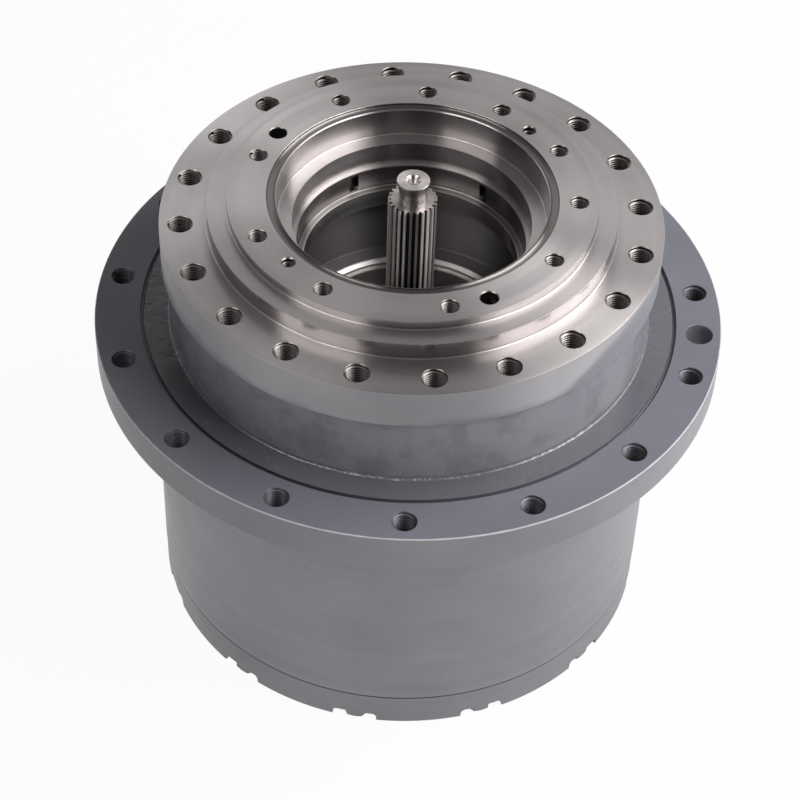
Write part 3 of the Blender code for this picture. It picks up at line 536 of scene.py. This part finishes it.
def make_housing_finish():
    """Slate paint: smooth over the machined flange, lumpy over the cast neck and its foot, with painted
    light, shade and highlights on the neck, its foot and the flange's rim and top edge.
    """
    made, tree, shader = new_material("slate_paint_on_casting")
    slate_light = srgb(119, 119, 129)
    slate_dark = srgb(109, 109, 118)
    # The one cast paint in two copies: painted shade on the annulus at the neck's foot, painted light on the
    # neck's wall
    foot_painted_shade = srgb(100, 99, 106)
    neck_painted_light = srgb(138, 137, 144)
    hollow_paint = srgb(96, 95, 101)
    speck = srgb(150, 148, 150)
    # Pale ragged line along the fillet at the neck's foot: partly flaked paint, partly a painted highlight
    chips_and_highlight = srgb(186, 186, 192)
    # Rim tones lighter than the face's: painted light on the same paint
    rim_light = srgb(136, 135, 141)
    rim_dark = srgb(118, 117, 123)
    # Painted highlight along the flange's top outer edge
    painted_edge_highlight = srgb(196, 195, 201)
    bare_metal = srgb(150, 148, 146)
    film = use(tree, smudges, Scale=10.0, Contrast=0.3)
    skin = use(tree, cast_skin, Lump=42.0, Grain=380.0)
    marks = use(tree, turning_marks, Spacing=700.0)
    cast = band(tree, Inner=0.15, Outer=0.1846, Low=flange_top - 0.004, High=neck_top - 0.0012, Soft=0.0006,
                Ragged=0.0006)
    bare = band(tree, Outer=neck_radius - 0.0015, High=neck_top + 0.01, Soft=0.0004)
    # Band of the fillet at the neck's foot, which carries the flaked paint and the painted highlight
    foot = band(tree, Inner=0.1663, Outer=0.1674, Low=flange_top - 0.001, High=flange_top + 0.003,
                Soft=0.0003, Ragged=0.0016, Grain=90.0)
    rim = band(tree, Inner=flange_radius - 0.0006)
    # Ragged band of the painted highlight on the flange's top outer edge
    edge = band(tree, Inner=flange_radius - 0.0007, Low=flange_top - 0.0009, Soft=0.0003, Ragged=0.0008,
                Grain=80.0)
    position, _, height = round_coordinates(tree)
    neck = ramp(tree, height, flange_top + 0.0005, flange_top + 0.004)
    chip_and_highlight_spots = math(tree, "MULTIPLY", ramp(tree, noise(tree, position, 320.0, 3.0, 0.6), 0.42, 0.62),
                 ramp(tree, noise(tree, position, 9.0, 1.0), 0.42, 0.6, 0.1, 0.75))
    # Painted shade darkens the neck's foot and painted light brightens its wall
    rough_paint = blend(tree, neck, foot_painted_shade, neck_painted_light)
    rough_paint = blend(tree, math(tree, "MULTIPLY", skin["Hollows"], 0.35), rough_paint, hollow_paint)
    rough_paint = blend(tree, math(tree, "MULTIPLY", film["Specks"], 0.3), rough_paint, speck)
    # Flaked paint and painted highlight along the fillet at the neck's foot
    rough_paint = blend(tree, math(tree, "MULTIPLY", foot, chip_and_highlight_spots), rough_paint, chips_and_highlight)
    color = blend(tree, cast, blend(tree, film["Cloud"], slate_light, slate_dark), rough_paint)
    # Painted light: the flange's rim is lighter than its face
    color = blend(tree, rim, color, blend(tree, film["Cloud"], rim_light, rim_dark))
    # Painted highlight on the flange's top outer edge
    color = blend(tree, edge, color, painted_edge_highlight)
    color = blend(tree, bare, color, bare_metal)
    relief = lerp(tree, cast, math(tree, "MULTIPLY", marks["Fine"], 0.05), skin["Height"])
    rough = lerp(tree, cast, ramp(tree, film["Cloud"], 0.0, 1.0, 0.34, 0.42), 0.24)
    wire(tree, shader, Base_Color=color, Metallic=bare, Roughness=rough,
         Normal=bump(tree, relief, 0.4, 0.0012))
    return made


def make_drum_finish(name, light, shade, rough_low, rough_high):
    """Thin grey paint over turned metal, with drag marks round the drum and a dark seam at its foot."""
    made, tree, shader = new_material(name)
    speck = srgb(90, 88, 92)
    seam_darkening = srgb(56, 55, 58)
    seam_reach = 0.0009
    film = use(tree, smudges, Scale=7.0, Contrast=0.28)
    marks = use(tree, turning_marks, Spacing=500.0, Banding=90.0)
    seam = band(tree, Inner=0.16, Low=drum_bottom - seam_reach, High=drum_bottom + seam_reach, Soft=0.0003)
    tone = math(tree, "MULTIPLY_ADD", marks["Bands"], 0.35, math(tree, "MULTIPLY", film["Cloud"], 0.5))
    color = blend(tree, tone, light, shade)
    color = blend(tree, math(tree, "MULTIPLY", film["Specks"], 0.25), color, speck)
    # Darker band along the drum's foot and the cover's top edge, where the two meet
    color = blend(tree, math(tree, "MULTIPLY", seam, 0.75), color, seam_darkening)
    wire(tree, shader, Base_Color=color, Metallic=0.35,
         Roughness=ramp(tree, tone, 0.1, 0.9, rough_low, rough_high, smooth=False),
         Normal=bump(tree, marks["Fine"], 0.08, 0.0003))
    return made


def make_spline_finish():
    """Bright tooth tips as a painted highlight, painted shade down between the teeth, and a plain end face.
    """
    made, tree, shader = new_material("hobbed_spline_steel")
    gap_painted_shade = srgb(70, 67, 66)
    tip_painted_highlight = srgb(232, 227, 225)
    end_face = srgb(158, 152, 150)
    _, radius, _ = round_coordinates(tree)
    marks = use(tree, turning_marks, Spacing=2200.0)
    # Painted shade towards the root and a painted highlight on the tips
    tooth = blend(tree, ramp(tree, radius, 0.0149, 0.0162), gap_painted_shade, tip_painted_highlight)
    wire(tree, shader, Base_Color=blend(tree, flatness(tree), tooth, end_face), Metallic=1.0,
         Roughness=ramp(tree, marks["Fine"], 0.3, 0.7, 0.3, 0.38))
    brush_round_axis(tree, shader, 0.95)
    return made


def make_rubber():
    made, tree, shader = new_material("seal_rubber")
    film = use(tree, smudges, Scale=40.0, Contrast=0.3)
    wire(tree, shader, Base_Color=blend(tree, film["Cloud"], srgb(30, 30, 31), srgb(46, 45, 45)),
         Roughness=ramp(tree, film["Cloud"], 0.0, 1.0, 0.5, 0.68),
         Normal=bump(tree, film["Cloud"], 0.1, 0.0003))
    return made


def make_cast_iron():
    made, tree, shader = new_material("carrier_iron")
    skin = use(tree, cast_skin, Lump=90.0, Grain=520.0)
    film = use(tree, smudges, Scale=20.0, Contrast=0.3)
    wire(tree, shader, Base_Color=blend(tree, film["Cloud"], srgb(96, 92, 90), srgb(72, 69, 68)),
         Metallic=0.8, Roughness=ramp(tree, skin["Hollows"], 0.0, 1.0, 0.42, 0.6),
         Normal=bump(tree, skin["Height"], 0.35, 0.0006))
    return made


hub_finish = make_hub_finish()
housing_finish = make_housing_finish()
drum_finish = make_drum_finish("drum_paint", srgb(145, 142, 148), srgb(117, 114, 120), 0.36, 0.5)
cover_finish = make_drum_finish("cover_paint", srgb(142, 140, 145), srgb(114, 112, 117), 0.38, 0.52)
thread_steel = steel("tapped_hole_steel", srgb(132, 128, 126), srgb(84, 81, 79), 0.26, 0.4, spacing=1500.0)
painted_hole = steel("painted_hole", srgb(96, 96, 103), srgb(70, 70, 76), 0.35, 0.5, metallic=0.25,
                     spacing=1500.0)
shaft_steel = steel("ground_shaft_steel", srgb(206, 199, 198), srgb(176, 170, 168), 0.2, 0.27,
                    anisotropy=0.95, spacing=1800.0, relief=0.06, cloud_scale=60.0)
spline_steel = make_spline_finish()
gear_steel = steel("oiled_gear_steel", srgb(150, 146, 143), srgb(112, 108, 105), 0.24, 0.4, cloud_scale=30.0)
bearing_steel = steel("bearing_steel", srgb(196, 194, 193), srgb(160, 158, 157), 0.12, 0.22,
                      cloud_scale=30.0, relief=0.05)
bolt_steel = steel("black_bolt_steel", srgb(92, 91, 92), srgb(60, 59, 60), 0.35, 0.5, cloud_scale=60.0)
bronze = steel("bush_bronze", srgb(190, 148, 92), srgb(150, 110, 66), 0.3, 0.45, cloud_scale=50.0)
cast_iron = make_cast_iron()
rubber = make_rubber()


# Camera, light and floor

def make_camera():
    """Set where the photograph was taken: above the front, looking down about 41 degrees."""
    distance = 1.56564
    photo_width = 800
    focal_pixels = 2318.94
    sensor_width = 36
    rise = radians(40.707)
    pitch = radians(4.557)
    yaw = radians(0.125)
    roll = radians(2.206)
    place = Vector((0, -distance * cos(rise), distance * sin(rise)))
    ahead = -place.normalized()
    right = Vector((1, 0, 0))
    rows = Matrix((right, -right.cross(ahead), ahead))
    turn = (Matrix.Rotation(roll, 3, "Z") @ Matrix.Rotation(pitch, 3, "X") @ Matrix.Rotation(yaw, 3, "Y")
            @ rows)
    camera = bpy.data.objects.new("camera", bpy.data.cameras.new("camera"))
    scene.collection.objects.link(camera)
    camera.data.sensor_width = sensor_width
    camera.data.lens = sensor_width * focal_pixels / photo_width
    camera.data.clip_start = 0.05
    camera.data.clip_end = 100
    axes = Matrix((turn[0], -turn[1], -turn[2])).transposed()
    camera.matrix_world = Matrix.Translation(place + Vector((0, 0, hub_face))) @ axes.to_4x4()
    scene.camera = camera


def soft_light(name, bearing, rise, size, power):
    """Softbox at a bearing from +X and a rise above the floor, in degrees, aimed at the drum."""
    distance = 2.6
    aim = Vector((0, 0, 0.22))
    data = bpy.data.lights.new(name, "AREA")
    data.shape = "RECTANGLE"
    data.size, data.size_y = size
    data.energy = power
    lamp = bpy.data.objects.new(name, data)
    scene.collection.objects.link(lamp)
    turn = radians(bearing)
    tilt = radians(rise)
    ray = Vector((cos(turn) * cos(tilt), sin(turn) * cos(tilt), sin(tilt)))
    facing = ray.to_track_quat("Z", "Y").to_matrix().to_4x4()
    lamp.matrix_world = Matrix.Translation(aim + ray * distance) @ facing
    lamp.visible_camera = False
    return lamp


def show_only_in_reflections(item):
    item.visible_camera = False
    item.visible_diffuse = False
    item.visible_shadow = False
    item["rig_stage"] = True


def make_dark_card():
    """The dark room behind the camera, which only the metal's reflections show."""
    start = radians(-138)
    arc = radians(82)
    distance = 3.2
    foot_height = 0.3
    card_height = 3.4
    bm = bmesh.new()
    foot = Matrix.Rotation(start, 3, "Z") @ Vector((distance, 0, foot_height))
    edge = bm.edges.new([bm.verts.new(foot), bm.verts.new(foot + Vector((0, 0, card_height)))])
    bmesh.ops.spin(bm, geom=[*edge.verts, edge], cent=(0, 0, 0), axis=(0, 0, 1), dvec=(0, 0, 0),
                   angle=arc, steps=16)
    card = linked("dark_card", bm)
    black, tree, shader = new_material("black_cloth")
    wire(tree, shader, Base_Color=(0.015, 0.015, 0.016), Roughness=0.95, Specular_IOR_Level=0.1)
    card.data.materials.append(black)
    show_only_in_reflections(card)


def make_ceiling():
    """The studio's grey upper part, above the white paper that stands behind the object."""
    bm = bmesh.new()
    bmesh.ops.create_uvsphere(bm, u_segments=48, v_segments=32, radius=4.0)
    bmesh.ops.bisect_plane(bm, geom=everything(bm), plane_co=(0, 0, -0.5), plane_no=(0, 0.78, -0.62),
                           clear_outer=True)
    ceiling = linked("ceiling", bm)
    grey, tree, _ = new_material("grey_ceiling")
    glow = put(tree, "Emission", {"Color": (1, 1, 1, 1), "Strength": 0.26})
    tree.links.new(glow.outputs[0], tree.nodes["Material Output"].inputs["Surface"])
    ceiling.data.materials.append(grey)
    show_only_in_reflections(ceiling)


def background_seen(tree):
    """1 for the rays that show the plain background: camera, mirror and clear rays."""
    path = put(tree, "LightPath").outputs
    seen = math(tree, "MAXIMUM", path["Is Camera Ray"], path["Is Glossy Ray"])
    return math(tree, "MAXIMUM", seen, path["Is Transmission Ray"])


def make_world():
    world = bpy.data.worlds.new("studio")
    scene.world = world
    world.use_nodes = True
    tree = world.node_tree
    dim = tree.nodes["Background"]
    dim.inputs["Color"].default_value = (1, 1, 1, 1)
    dim.inputs["Strength"].default_value = 0.12
    white = put(tree, "Background", {"Color": (1, 1, 1, 1), "Strength": 1.0})
    mixed = put(tree, "MixShader", {0: background_seen(tree), 1: dim.outputs[0], 2: white.outputs[0]})
    tree.links.new(mixed.outputs[0], tree.nodes["World Output"].inputs["Surface"])


def make_floor():
    """White paper, slightly below the cover so that the two faces don't coincide."""
    drop = 0.0004
    white_share = 0.95
    bm = bmesh.new()
    bmesh.ops.create_circle(bm, cap_ends=True, radius=9, segments=64)
    bmesh.ops.translate(bm, verts=bm.verts, vec=(0, 0, -drop))
    floor = linked("floor", bm)
    paper, tree, shader = new_material("white_paper")
    wire(tree, shader, Base_Color=(0.8, 0.8, 0.8), Roughness=0.9)
    glow = put(tree, "Emission", {"Color": (1, 1, 1, 1), "Strength": 1.0})
    share = math(tree, "MULTIPLY", background_seen(tree), white_share)
    mixed = put(tree, "MixShader", {0: share, 1: shader.outputs[0], 2: glow.outputs[0]})
    tree.links.new(mixed.outputs[0], tree.nodes["Material Output"].inputs["Surface"])
    floor.data.materials.append(paper)
    floor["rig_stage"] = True


make_camera()
make_world()
make_floor()
soft_light("key_right", bearing=-4, rise=44, size=(3.0, 1.5), power=104)
soft_light("strip_left", bearing=-138, rise=42, size=(1.7, 0.6), power=24).visible_diffuse = False
soft_light("fill_front", bearing=-100, rise=9, size=(2.6, 0.9), power=9).visible_glossy = False
make_dark_card()
make_ceiling()


# Hub

def make_hub():
    # Bore, from its mouth down
    mouth_radius = 0.0915
    upper_radius = 0.081
    upper_roof = hub_top - 0.022
    middle_radius = 0.078
    middle_roof = hub_top - 0.0395
    lower_radius = 0.0735
    lower_roof = hub_top - 0.0567
    chamber_radius = 0.092
    chamber_roof = hub_top - 0.0707
    chamber_foot_radius = 0.08
    chamber_floor = hub_top - 0.1267
    step_radius = 0.0768
    step_level = chamber_floor - 0.0022
    ledge_radius = 0.0752
    ledge_level = chamber_floor - 0.0038
    gear_bore_radius = 0.073
    seat_radius = 0.088
    seat_roof = spindle_end + 0.03

    # Spindle, from the hub's flange down
    recess_roof = hub_under + 0.0135
    shoulder_radius = 0.12
    journal_radius = 0.115
    journal_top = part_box("upper_bearing_inner_ring")[1].z + 0.0003
    journal_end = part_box("lower_bearing_inner_ring")[0].z + 0.001
    nut_radius = 0.112

    # Rounded seal groove round the mouth
    groove_radius = 0.0952
    groove_half_width = 0.0028
    groove_depth = 0.0018
    groove_level = hub_top - 0.0007
    groove_steps = 10
    groove = [(groove_radius - groove_half_width * cos(pi * step / groove_steps),
               groove_level - groove_depth * sin(pi * step / groove_steps))
              for step in range(groove_steps + 1)]

    bm = spun([
        *groove, (0.098, hub_top - 0.0002), (0.0982, hub_top), (boss_upper_radius, hub_top),
        (boss_upper_radius, boss_step), (boss_lower_radius, boss_step), (boss_lower_radius, hub_face),
        (hub_radius, hub_face), (hub_radius, hub_under), (seal_seat_radius, hub_under),
        (seal_seat_radius, recess_roof), (shoulder_radius, recess_roof), (shoulder_radius, journal_top),
        (journal_radius, journal_top), (journal_radius, journal_end), (nut_radius, journal_end),
        (nut_radius, spindle_end), (seat_radius, spindle_end), (seat_radius, seat_roof),
        (gear_bore_radius, seat_roof), (gear_bore_radius, ledge_level), (ledge_radius, ledge_level),
        (ledge_radius, step_level), (step_radius, step_level), (chamber_foot_radius, chamber_floor),
        (chamber_radius, chamber_floor), (chamber_radius, chamber_roof), (lower_radius, chamber_roof),
        (lower_radius, lower_roof), (middle_radius, lower_roof), (middle_radius, middle_roof),
        (upper_radius, middle_roof), (upper_radius, upper_roof), (mouth_radius, upper_roof),
        (mouth_radius, hub_top - 0.0015), (0.0921, groove_level),
    ])
    soften(bm, [(boss_upper_radius, hub_top), (boss_lower_radius, boss_step), (hub_radius, hub_face)], 0.0006)
    soften(bm, [(boss_upper_radius, boss_step), (boss_lower_radius, hub_face)], 0.0014, 4)
    soften(bm, [(hub_radius, hub_under), (seal_seat_radius, hub_under), (nut_radius, spindle_end),
                (seat_radius, spindle_end)], 0.001)
    soften(bm, [(upper_radius, upper_roof), (middle_radius, middle_roof), (lower_radius, lower_roof),
                (lower_radius, chamber_roof), (chamber_foot_radius, chamber_floor), (step_radius, step_level),
                (gear_bore_radius, ledge_level)], 0.0005)
    soften(bm, [(mouth_radius, upper_roof), (middle_radius, lower_roof), (chamber_radius, chamber_floor),
                (chamber_radius, chamber_roof)], 0.001, 3)

    frame_hole_end = hub_face - 0.023
    motor_hole_end = hub_top - 0.022
    dowel_hole_end = hub_top - 0.014
    port_end = hub_top - 0.018
    port_thread_top = hub_top - 0.0025
    motor_circle = 0.1113
    frame_holes = ring_of(0.15575, 20, radians(6.6))
    motor_holes = at_degrees(motor_circle, 27.7, 57.6, 86, 118.2, 161.8, 205.5, 240.3, 283.6, 327.1, 359)
    dowels = at_degrees(motor_circle, 147.7, 297.4)
    ports = at_degrees(0.107, 42.9, 222.6)

    # Shallow pocket in the bore's wall, with a deeper slot at each end
    cut_inner = 0.075
    pocket = sector(tube(cut_inner, upper_radius, lower_roof + 0.002, middle_roof - 0.002), 52, 121)
    slot_width = 6.5
    slots = [sector(tube(cut_inner, 0.087, lower_roof + 0.0022, middle_roof - 0.0022), start,
                    start + slot_width) for start in (48.5, 118.5)]
    bm = shaped(bm, "DIFFERENCE",
                drill(m16[0], hub_face, frame_hole_end, tapped_chamfer, frame_holes),
                drill(m12[0], hub_top, motor_hole_end, tapped_chamfer, motor_holes),
                drill(0.006, hub_top, dowel_hole_end, 0.0006, dowels),
                drill(port_thread[0], hub_top, port_end, 0.0008, ports),
                *slots, finishes=(hub_finish, thread_steel))
    bm = shaped(bm, "DIFFERENCE", pocket)
    piece("hub_forging", bm, [hub_finish, thread_steel], "hub_body", ["hub"])
    for name, size, end, top, places in (
            ("frame_hole_threads", m16, frame_hole_end, hub_face - thread_mouth, frame_holes),
            ("motor_hole_threads", m12, motor_hole_end, hub_top - thread_mouth, motor_holes),
            ("port_threads", port_thread, port_end, port_thread_top, ports)):
        piece(name, thread(*size, end + thread_runout, top, places), [thread_steel], "hub_body")


# Housing, drum and cover

def make_housing():
    # Relief groove round the neck's foot
    groove_inner = 0.1838
    groove_outer = 0.1866
    groove_floor = flange_top - 0.003

    # Seats of the bearings, on both sides of a rib
    race_radius = 0.1425
    rib_radius = 0.136
    rib_top = flange_bottom + 0.016
    race_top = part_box("upper_bearing_outer_ring")[1].z + 0.0033

    bm = spun([
        (neck_radius, neck_top), (neck_radius, flange_top), (groove_inner, flange_top),
        (groove_inner, groove_floor), (groove_outer, groove_floor), (groove_outer, flange_top),
        (flange_radius, flange_top), (flange_radius, flange_bottom), (spigot_radius, flange_bottom),
        (spigot_radius, spigot_end), (race_radius, spigot_end), (race_radius, flange_bottom),
        (rib_radius, flange_bottom), (rib_radius, rib_top), (race_radius, rib_top), (race_radius, race_top),
        (seal_seat_radius, race_top), (seal_seat_radius, neck_top),
    ])
    soften(bm, [(neck_radius, flange_top)], 0.0022, 6)
    soften(bm, [(neck_radius, neck_top), (seal_seat_radius, neck_top)], 0.0012, 3)
    soften(bm, [(flange_radius, flange_top), (flange_radius, flange_bottom)], 0.0008)
    soften(bm, [(groove_inner, flange_top), (groove_outer, flange_top)], 0.0003)

    hole_circle = 0.2024
    plain_hole_radius = 0.0095
    tapped = ring_of(hole_circle, 15, radians(6.7))
    plain = at_degrees(hole_circle, -5.3)
    through = flange_bottom - overrun
    bolt_hole = spun([(0, through), (bolt_hole_radius, through), (bolt_hole_radius, flange_bottom + 0.02),
                      (0, flange_bottom + 0.0235)], bolt_hole_steps, closed=False)
    bm = shaped(bm, "DIFFERENCE",
                drill(m16[0], flange_top, through, tapped_chamfer, tapped, point=0),
                repeated(bolt_hole, ring_of(bolt_circle, bolt_count, bolt_phase)),
                finishes=(housing_finish, painted_hole))
    bm = shaped(bm, "DIFFERENCE",
                drill(plain_hole_radius, flange_top, through, tapped_chamfer, plain, point=0))
    piece("housing_casting", bm, [housing_finish, painted_hole], "housing_body", ["housing"])
    threads = thread(*m16, flange_bottom + thread_mouth, flange_top - thread_mouth, tapped)
    piece("flange_hole_threads", threads, [painted_hole], "housing_body")


def make_drum():
    """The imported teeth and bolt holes, inside a round skin."""
    core_radius = 0.177
    skin_inner = 0.1766
    core = shaped(copy_of("ring_gear"), "INTERSECT",
                  post(core_radius, drum_bottom - overrun, drum_top + overrun))
    skin = spun(tube(skin_inner, drum_radius, drum_bottom, drum_top))
    soften(skin, [(drum_radius, drum_bottom), (drum_radius, drum_top)], 0.0012)
    piece("gear_drum", joined(core, skin), [drum_finish], "housing_body", ["ring_gear"])


def make_notch():
    """Block that cuts one notch out of the cover's rim, with rounded roof edges and inner corners."""
    length = 0.03
    height = 0.014
    bm = bmesh.new()
    bmesh.ops.create_cube(bm, size=1)
    bmesh.ops.scale(bm, verts=bm.verts, vec=(length, 0.032, height))
    bmesh.ops.translate(bm, verts=bm.verts, vec=(length / 2, 0, 0))
    roof = [edge for edge in bm.edges if min(vert.co.z for vert in edge.verts) > 0
            and abs(edge.verts[0].co.x - edge.verts[1].co.x) > length / 3]
    round_off(bm, roof, 0.0035, 4)
    upright = [edge for edge in bm.edges if abs(edge.verts[0].co.z - edge.verts[1].co.z) > 0.008
               and edge.verts[0].co.x < 0.001]
    round_off(bm, upright, 0.006, 5)
    return bm


def make_cover():
    rim_inner = 0.148
    recess_roof = 0.008
    plate_top = 0.02
    hollow_radius = spigot_radius - 0.012
    notch_circle = 0.1565
    bm = spun([
        (0, plate_top), (hollow_radius, plate_top), (hollow_radius, cover_top), (spigot_radius, cover_top),
        (spigot_radius, cover_rim_height), (cover_radius, cover_rim_height), (cover_radius, 0),
        (rim_inner, 0), (rim_inner, recess_roof), (0, recess_roof),
    ], closed=False)
    soften(bm, [(cover_radius, cover_rim_height)], 0.0012)
    soften(bm, [(cover_radius, 0), (rim_inner, 0)], 0.001)
    soften(bm, [(rim_inner, recess_roof)], 0.003, 4)
    notches = repeated(make_notch(), ring_of(notch_circle, bolt_count, bolt_phase))
    holes = repeated(post(bolt_hole_radius, 0.005, cover_rim_height + overrun, bolt_hole_steps),
                     ring_of(bolt_circle, bolt_count, bolt_phase))
    plugs = repeated(post(0.0101, recess_roof - overrun, plate_top + overrun, hole_steps),
                     at_degrees(plug_circle, *plug_angles))
    piece("cover_casting", shaped(bm, "DIFFERENCE", notches, holes, plugs), [cover_finish], "housing_body",
          ["cover"])


def hexagon_screw(corner_radius, head_low, head_high, shank, end):
    """Hexagon head with turned-off corners, and its shank, standing on the axis."""
    sink = 0.001
    shank_chamfer = 0.0012
    face_radius = corner_radius * 0.86
    outside = corner_radius * 1.02
    head = bmesh.new()
    bmesh.ops.create_cone(head, cap_ends=True, segments=6, radius1=corner_radius, radius2=corner_radius,
                          depth=head_high - head_low)
    bmesh.ops.translate(head, verts=head.verts, vec=(0, 0, (head_high + head_low) / 2))
    chamfer = spun([(0, head_low), (face_radius, head_low), (outside, head_low + corner_radius * 0.1),
                    (outside, head_high + sink), (0, head_high + sink)], 48, closed=False)
    head = shaped(head, "INTERSECT", chamfer)
    body = spun([(0, head_high - sink), (shank, head_high - sink), (shank, end - shank_chamfer),
                 (shank - shank_chamfer, end), (0, end)], hole_steps, closed=False)
    return joined(head, body)


def make_screws(nodes, places, corner_radius, head_height, shank, finish):
    for node, place in zip(nodes, places):
        low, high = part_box(node)
        screw = hexagon_screw(corner_radius, low.z, low.z + head_height, shank, high.z)
        piece(f"{node}_screw", repeated(screw, [place]), [finish], "housing_body", [node])


# Input shaft

def make_shaft():
    """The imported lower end, with a spline and a pilot built on it above the cut."""
    cut_level = 0.2
    teeth = 24
    steps_per_tooth = 6
    tip_radius = 0.0165
    root_radius = 0.0145
    core_radius = 0.0141
    length = 0.085
    top = shaft_top - 0.016
    lower = copy_of("input_shaft")
    bmesh.ops.bisect_plane(lower, geom=everything(lower), plane_co=(0, 0, cut_level), plane_no=(0, 0, 1),
                           clear_outer=True)
    bmesh.ops.holes_fill(lower, edges=[edge for edge in lower.edges if edge.is_boundary])

    spline = bmesh.new()
    bmesh.ops.create_circle(spline, cap_ends=True, radius=root_radius, segments=teeth * steps_per_tooth)
    rim = sorted(spline.verts, key=lambda vert: Vector((1, 0)).angle_signed(vert.co.xy) % (2 * pi))
    tips = [vert for index, vert in enumerate(rim) if index % steps_per_tooth < steps_per_tooth / 2]
    growth = tip_radius / root_radius
    bmesh.ops.scale(spline, verts=tips, vec=(growth, growth, 1))
    bmesh.ops.translate(spline, verts=spline.verts, vec=(0, 0, top - length))
    grown = bmesh.ops.extrude_face_region(spline, geom=spline.faces[:])["geom"]
    bmesh.ops.translate(spline, verts=verts_among(grown), vec=(0, 0, length))
    bmesh.ops.recalc_face_normals(spline, faces=spline.faces)
    trim_radius = 0.0175
    trim_bottom = top - 0.09
    trim_top = top + 0.0001
    spline = shaped(spline, "INTERSECT", spun([
        (0, trim_bottom), (trim_radius, trim_bottom), (trim_radius, top - 0.0011), (0.0164, trim_top),
        (0, trim_top),
    ], 96, closed=False))
    for face in spline.faces:
        face.material_index = 1

    # Pilot, which flares to a button head with a drilled centre
    pilot_radius = 0.0094
    head_radius = 0.0112
    centre_radius = 0.0029
    pilot = spun([
        (0, cut_level - overrun), (core_radius, cut_level - overrun), (core_radius, top - overrun),
        (pilot_radius, top - overrun), (pilot_radius, shaft_top - 0.0092), (head_radius, shaft_top - 0.0012),
        (head_radius, shaft_top), (0.0053, shaft_top), (centre_radius, shaft_top - 0.0024),
        (centre_radius, shaft_top - 0.008), (0, shaft_top - 0.0097),
    ], 72, closed=False)
    soften(pilot, [(head_radius, shaft_top)], 0.0005)
    piece("splined_shaft", joined(lower, spline, pilot), [shaft_steel, spline_steel], "input_shaft_body",
          ["input_shaft"], crease=28)


make_hub()
make_housing()
make_drum()
make_cover()
make_screws([f"cover_bolt_{number:02d}" for number in range(1, bolt_count + 1)],
            ring_of(bolt_circle, bolt_count, bolt_phase), corner_radius=0.0104, head_height=0.0062,
            shank=0.006, finish=cover_finish)
make_screws(("fill_plug", "level_plug", "drain_plug"), at_degrees(plug_circle, *plug_angles),
            corner_radius=0.015, head_height=0.005, shank=0.01, finish=bolt_steel)
make_shaft()

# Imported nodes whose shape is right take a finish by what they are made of
finishes = {
    "bearing_nut": bolt_steel,
    "carrier": cast_iron,
    "cover_seal_ring": rubber,
    "face_seal_ring": bearing_steel,
    "face_seal_rubber": rubber,
    "housing_seal_ring": rubber,
    "lower_bearing": bearing_steel,
    "planet_bush": bronze,
    "planet_gear": gear_steel,
    "planet_pin": bearing_steel,
    "sun_gear": gear_steel,
    "thrust_pad": bronze,
    "upper_bearing": bearing_steel,
}
replaced = {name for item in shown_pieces() for name in item.get("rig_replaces", [])}
for name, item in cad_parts.items():
    if name in replaced:
        continue
    finish = next(value for start, value in finishes.items() if name.startswith(start))
    for slot in item.material_slots:
        slot.material = finish

scene.view_settings.view_transform = "Standard"
